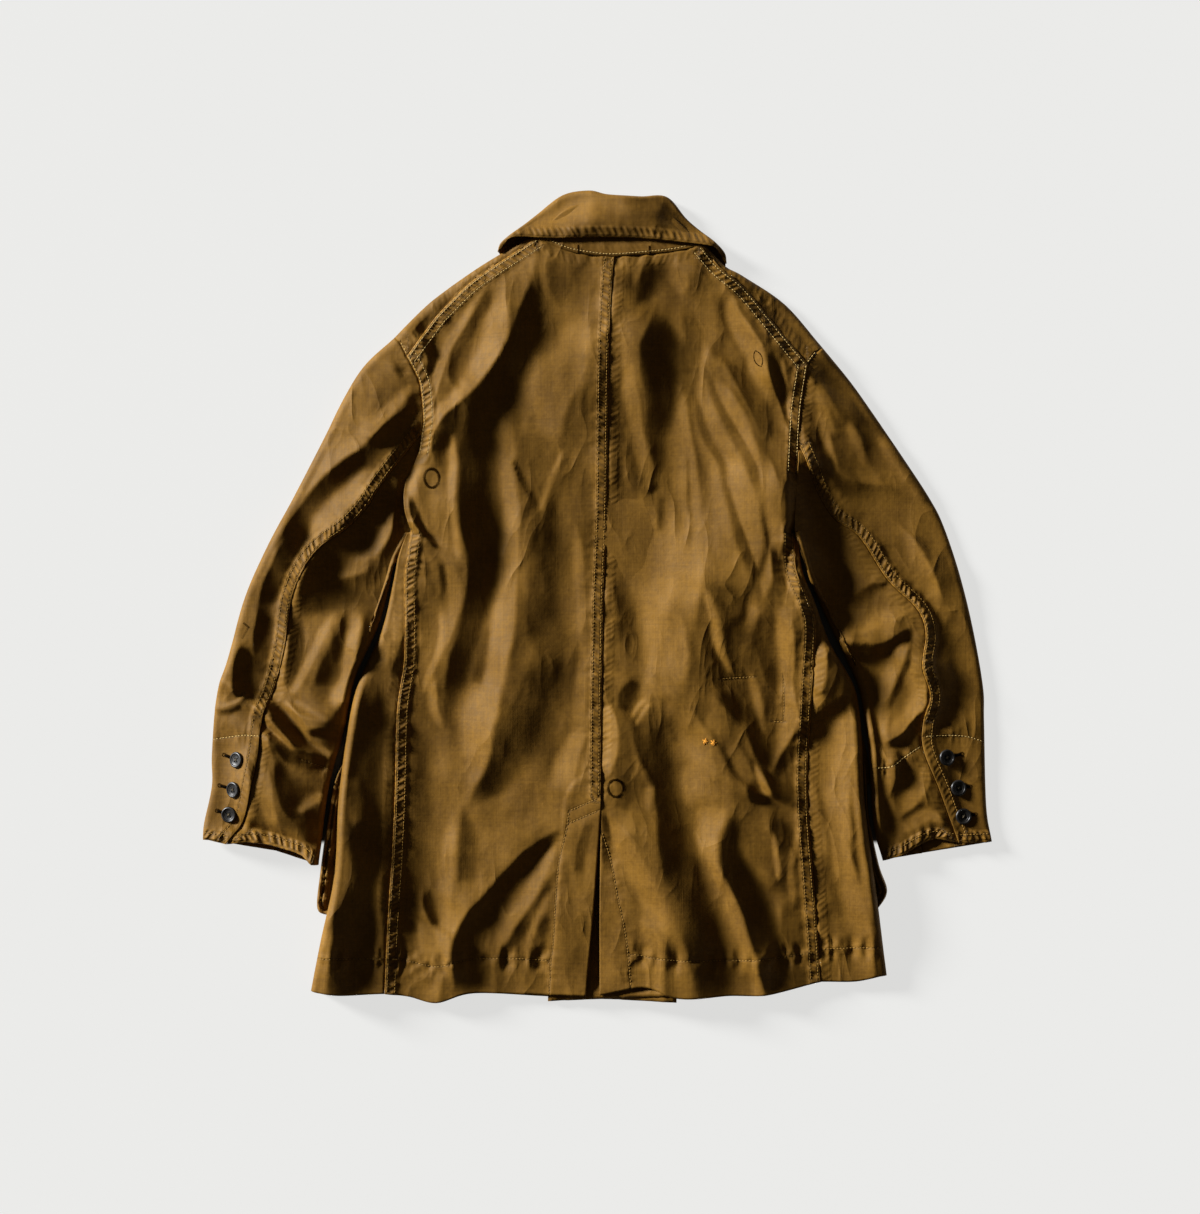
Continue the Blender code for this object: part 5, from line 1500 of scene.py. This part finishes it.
def sew_button(name, tree, x, y):
    """A four-hole button with a rolled rim, sewn through its well."""
    place = seat(tree, x, y)
    body, holes, thread = Mesh(), Mesh(), Mesh()
    lathe(body, BUTTON_PROFILE, place)
    item = body.make(name + "_turned", BUTTON, "button")
    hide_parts(name)
    up = place.to_3x3() @ Vector((0, 0, 1))
    corners = [Vector((a * HOLE_SPREAD, b * HOLE_SPREAD, HOLE_LEVEL)) * MM
               for a, b in ((1, 1), (1, -1), (-1, -1), (-1, 1))]
    # Each hole is a shallow dent coloured near black, painted shade for its inside
    dent = [(HOLE_RADIUS, 0.0), (HOLE_RADIUS * 0.5, -0.02), (0.01, -0.03)]
    for corner in corners:
        lathe(holes, dent, place @ Matrix.Translation(corner), 12)
    for k in (0, 1):
        thread.stitch(place @ corners[k], place @ corners[k + 2], up, 0.42)
    holes.make(name + "_holes", HOLE_SHADE, "button")
    thread.make(name + "_thread", BUTTON_THREAD, "button")


def buttonhole(mesh, dark, tree, button, eye):
    """A worked keyhole: close stitches round a slit that ends in an eye, mostly under the button; the slit is
    a near-black spindle, painted shade for its opening.
    """
    middle, end = np.array(button, float), np.array(eye, float)
    way = (end - middle) / np.linalg.norm(end - middle)
    across = np.array([-way[1], way[0]])
    first, neck, half = middle + way * 5.5, end - way * 2.0, across * 0.7
    ring = [end + 1.15 * (way * math.cos(t) + across * math.sin(t)) for t in np.linspace(2.0, -2.0, 9)]
    line = np.array([first + half, neck + half, *ring, neck - half, first - half])
    for s in np.arange(0, run_of(line)[-1], 0.62):
        here, ahead = at(line, [s, s + 0.3])
        normal = np.array([-(ahead - here)[1], (ahead - here)[0]])
        normal = normal / max(np.linalg.norm(normal), 1e-9)
        mesh.laid(tree, here - normal * 0.1, here + normal * 1.1, 0.3, 0.15)
    # The slit: a near-black spindle, painted shade for the opening
    dark.laid(tree, first, end + way * 0.6, 0.95, 0.1, 0.1)


for name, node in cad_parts.items():
    if name.startswith("front_button"):
        node.data.materials.clear()
        node.data.materials.append(BUTTON)

# ---------------------------------------------------------------- worked holes, tacks and worn marks

def bar_tack(mesh, tree, first, last, width, pitch, radius):
    """Close stitches across a short line."""
    line = np.array([first, last], float)
    way = (line[1] - line[0]) / np.linalg.norm(line[1] - line[0])
    across = np.array([-way[1], way[0]]) * width / 2
    for here in at(line, np.arange(0, run_of(line)[-1], pitch)):
        mesh.laid(tree, here - across, here + across + way * pitch / 2, radius)


def worn_mark(mesh, piece, x, y, half_x, half_y, lean, width, pointed=1.0):
    """A worn oval of close dark stitches; pointed below 1 draws its ends out to tips."""
    turn = np.linspace(0, 2 * math.pi, 60)
    u = half_x * np.sign(np.cos(turn)) * abs(np.cos(turn)) ** (1 / pointed)
    v = half_y * np.sin(turn)
    line = np.column_stack([x + u * math.cos(lean) - v * math.sin(lean),
                            y + u * math.sin(lean) + v * math.cos(lean)])
    out = outward(line, (x, y)) * width / 2
    run, marks = run_of(line), np.arange(0, run_of(line)[-1], 0.7)
    for k, share in zip((run.searchsorted(marks) - 1).clip(0), THREAD_DRAW.uniform(0.7, 1.15, len(marks))):
        mesh.laid(TREES[piece], line[k] - out[k] * share, line[k] + out[k] * share, 0.34)


def darned(mesh, tree, x, y, reach, draw):
    """A knot of loose stitches, every way round."""
    place = np.array([x, y])
    for turn in draw.uniform(0, 2 * math.pi, 16):
        way = np.array([math.cos(turn), math.sin(turn)]) * reach * draw.uniform(0.5, 1)
        mesh.laid(tree, place - way / 2, place + way, 0.5, 0.2, 0.2)


work, slit_shades, marks, darn = Mesh(), Mesh(), Mesh(), Mesh()
for side, places in CUFF_BUTTONS.items():
    sleeve = TREES["upper_sleeve_%s_cloth" % side]
    for number, (button, eye) in enumerate(places, 1):
        sew_button("cuff_button_%s_%d" % (side, number), sleeve, *button)
        buttonhole(work, slit_shades, sleeve, button, eye)
for x, y in ((-18.5, 328), (49, 327)):
    bar_tack(work, TREES["collar_stand_cloth"], (x, y - 5), (x, y + 5), 2.2, 0.75, 0.4)
for first, last in (((-336, -25), (-330.5, -29.5)), ((-331, -29), (-337.5, -40))):
    bar_tack(work, TREES["upper_sleeve_left_cloth"], first, last, 2.6, 1.1, 0.2)
worn_mark(marks, "back_left_cloth", -157, 112, 7, 9, 0.1, 3.4)
worn_mark(marks, "back_right_cloth", 17, -181, 7, 8, 0.0, 3.2)
worn_mark(marks, "back_right_cloth", 152, 225, 3.6, 8, 0.35, 1.2, 0.6)
marks.make("worn_rings", thread_material("worn_thread", (0.036, 0.017, 0.003)))
work.make("worked_holes_and_tacks", thread_material("work_thread", (0.045, 0.021, 0.004)))
slit_shades.make("buttonhole_slit_shades", HOLE_SHADE)

DARN_DRAW = np.random.default_rng(21)
for x, y, reach in ((102, -137, 4.4), (110, -138.5, 4.2)):
    darned(darn, TREES["back_right_cloth"], x, y, reach, DARN_DRAW)
darn.make("orange_darn", thread_material("darn_thread", (0.55, 0.24, 0.035)))

# ---------------------------------------------------------------- floor, light and camera, in metres

FLOOR_HALF, FLOOR_LEVEL = 16.0, -0.0002
FLOOR_GLOW = 0.70                  # the floor glows, which paints its shadows pale
KEY_POWER, KEY_SOFTNESS = 9.6, 12.0
FILL = 0.050
CAMERA_PLACE, LENS, SENSOR = (0.0024, -0.010, 2.72 + 0.012), 85, 36


def floor_material():
    """It glows where nothing lies on it, which paints its shadows pale; the mask that keeps the glow off
    inside the coat's outline paints shade into the gaps between sleeves and body.
    """
    n = Nodes("floor")
    across, along, _ = n.parts(n.place)

    def past(axis, shift, low, high):
        """1 beyond a distance to both sides of a line."""
        return n.ramp(n.math("ABSOLUTE", n.plus(axis, shift)), low, high)

    # The glow's mask: 0 in these boxes under the coat, painted shade where the floor shows through a gap
    clear = None
    for beside, beyond in (((0.0, 0.283, 0.287), (0.082, 0.150, 0.155)),    # from cuff to cuff
                           ((0.0, 0.148, 0.152), (0.045, 0.300, 0.305)),    # the back
                           ((0.0, 0.078, 0.082), (-0.25, 0.084, 0.088))):   # the neck
        outside = n.math("MAXIMUM", past(across, *beside), past(along, *beyond))
        clear = outside if clear is None else n.math("MINIMUM", clear, outside)
    return n.finish({
        "Base Color": n.mix(n.noise(n.place, 3.0), (0.135, 0.135, 0.132, 1), (0.145, 0.145, 0.141, 1)),
        "Emission Color": (1.0, 1.0, 0.985, 1), "Emission Strength": n.times(clear, FLOOR_GLOW),
        "Roughness": 0.9, "Specular IOR Level": 0.1,
    })


def floor():
    mesh = bpy.data.meshes.new("floor")
    corners = [(x * FLOOR_HALF, y * FLOOR_HALF, 0) for x, y in ((-1, -1), (1, -1), (1, 1), (-1, 1))]
    mesh.from_pydata(corners, [], [(0, 1, 2, 3)])
    item = link("floor", mesh, floor_material())
    item.location.z = FLOOR_LEVEL


def key_light():
    """A wide soft key from the upper left, low enough to model the folds."""
    data = bpy.data.lights.new("key", "SUN")
    data.energy = KEY_POWER
    data.angle = math.radians(KEY_SOFTNESS)
    item = bpy.data.objects.new("key", data)
    item.rotation_mode = "QUATERNION"
    item.rotation_quaternion = (-Vector(KEY_FROM)).to_track_quat("-Z", "Y")
    bpy.context.scene.collection.objects.link(item)


def fill_light():
    """The warm light of the room."""
    world = bpy.data.worlds.new("studio")
    world.use_nodes = True
    inputs = world.node_tree.nodes["Background"].inputs
    inputs["Color"].default_value = (1.0, 0.90, 0.74, 1)
    inputs["Strength"].default_value = FILL
    bpy.context.scene.world = world


def camera():
    """It looks straight down."""
    data = bpy.data.cameras.new("camera")
    data.lens = LENS
    data.sensor_width = SENSOR
    item = bpy.data.objects.new("camera", data)
    item.location = CAMERA_PLACE
    bpy.context.scene.collection.objects.link(item)
    bpy.context.scene.camera = item


floor()
key_light()
fill_light()
camera()
bpy.context.scene.view_settings.view_transform = "Standard"
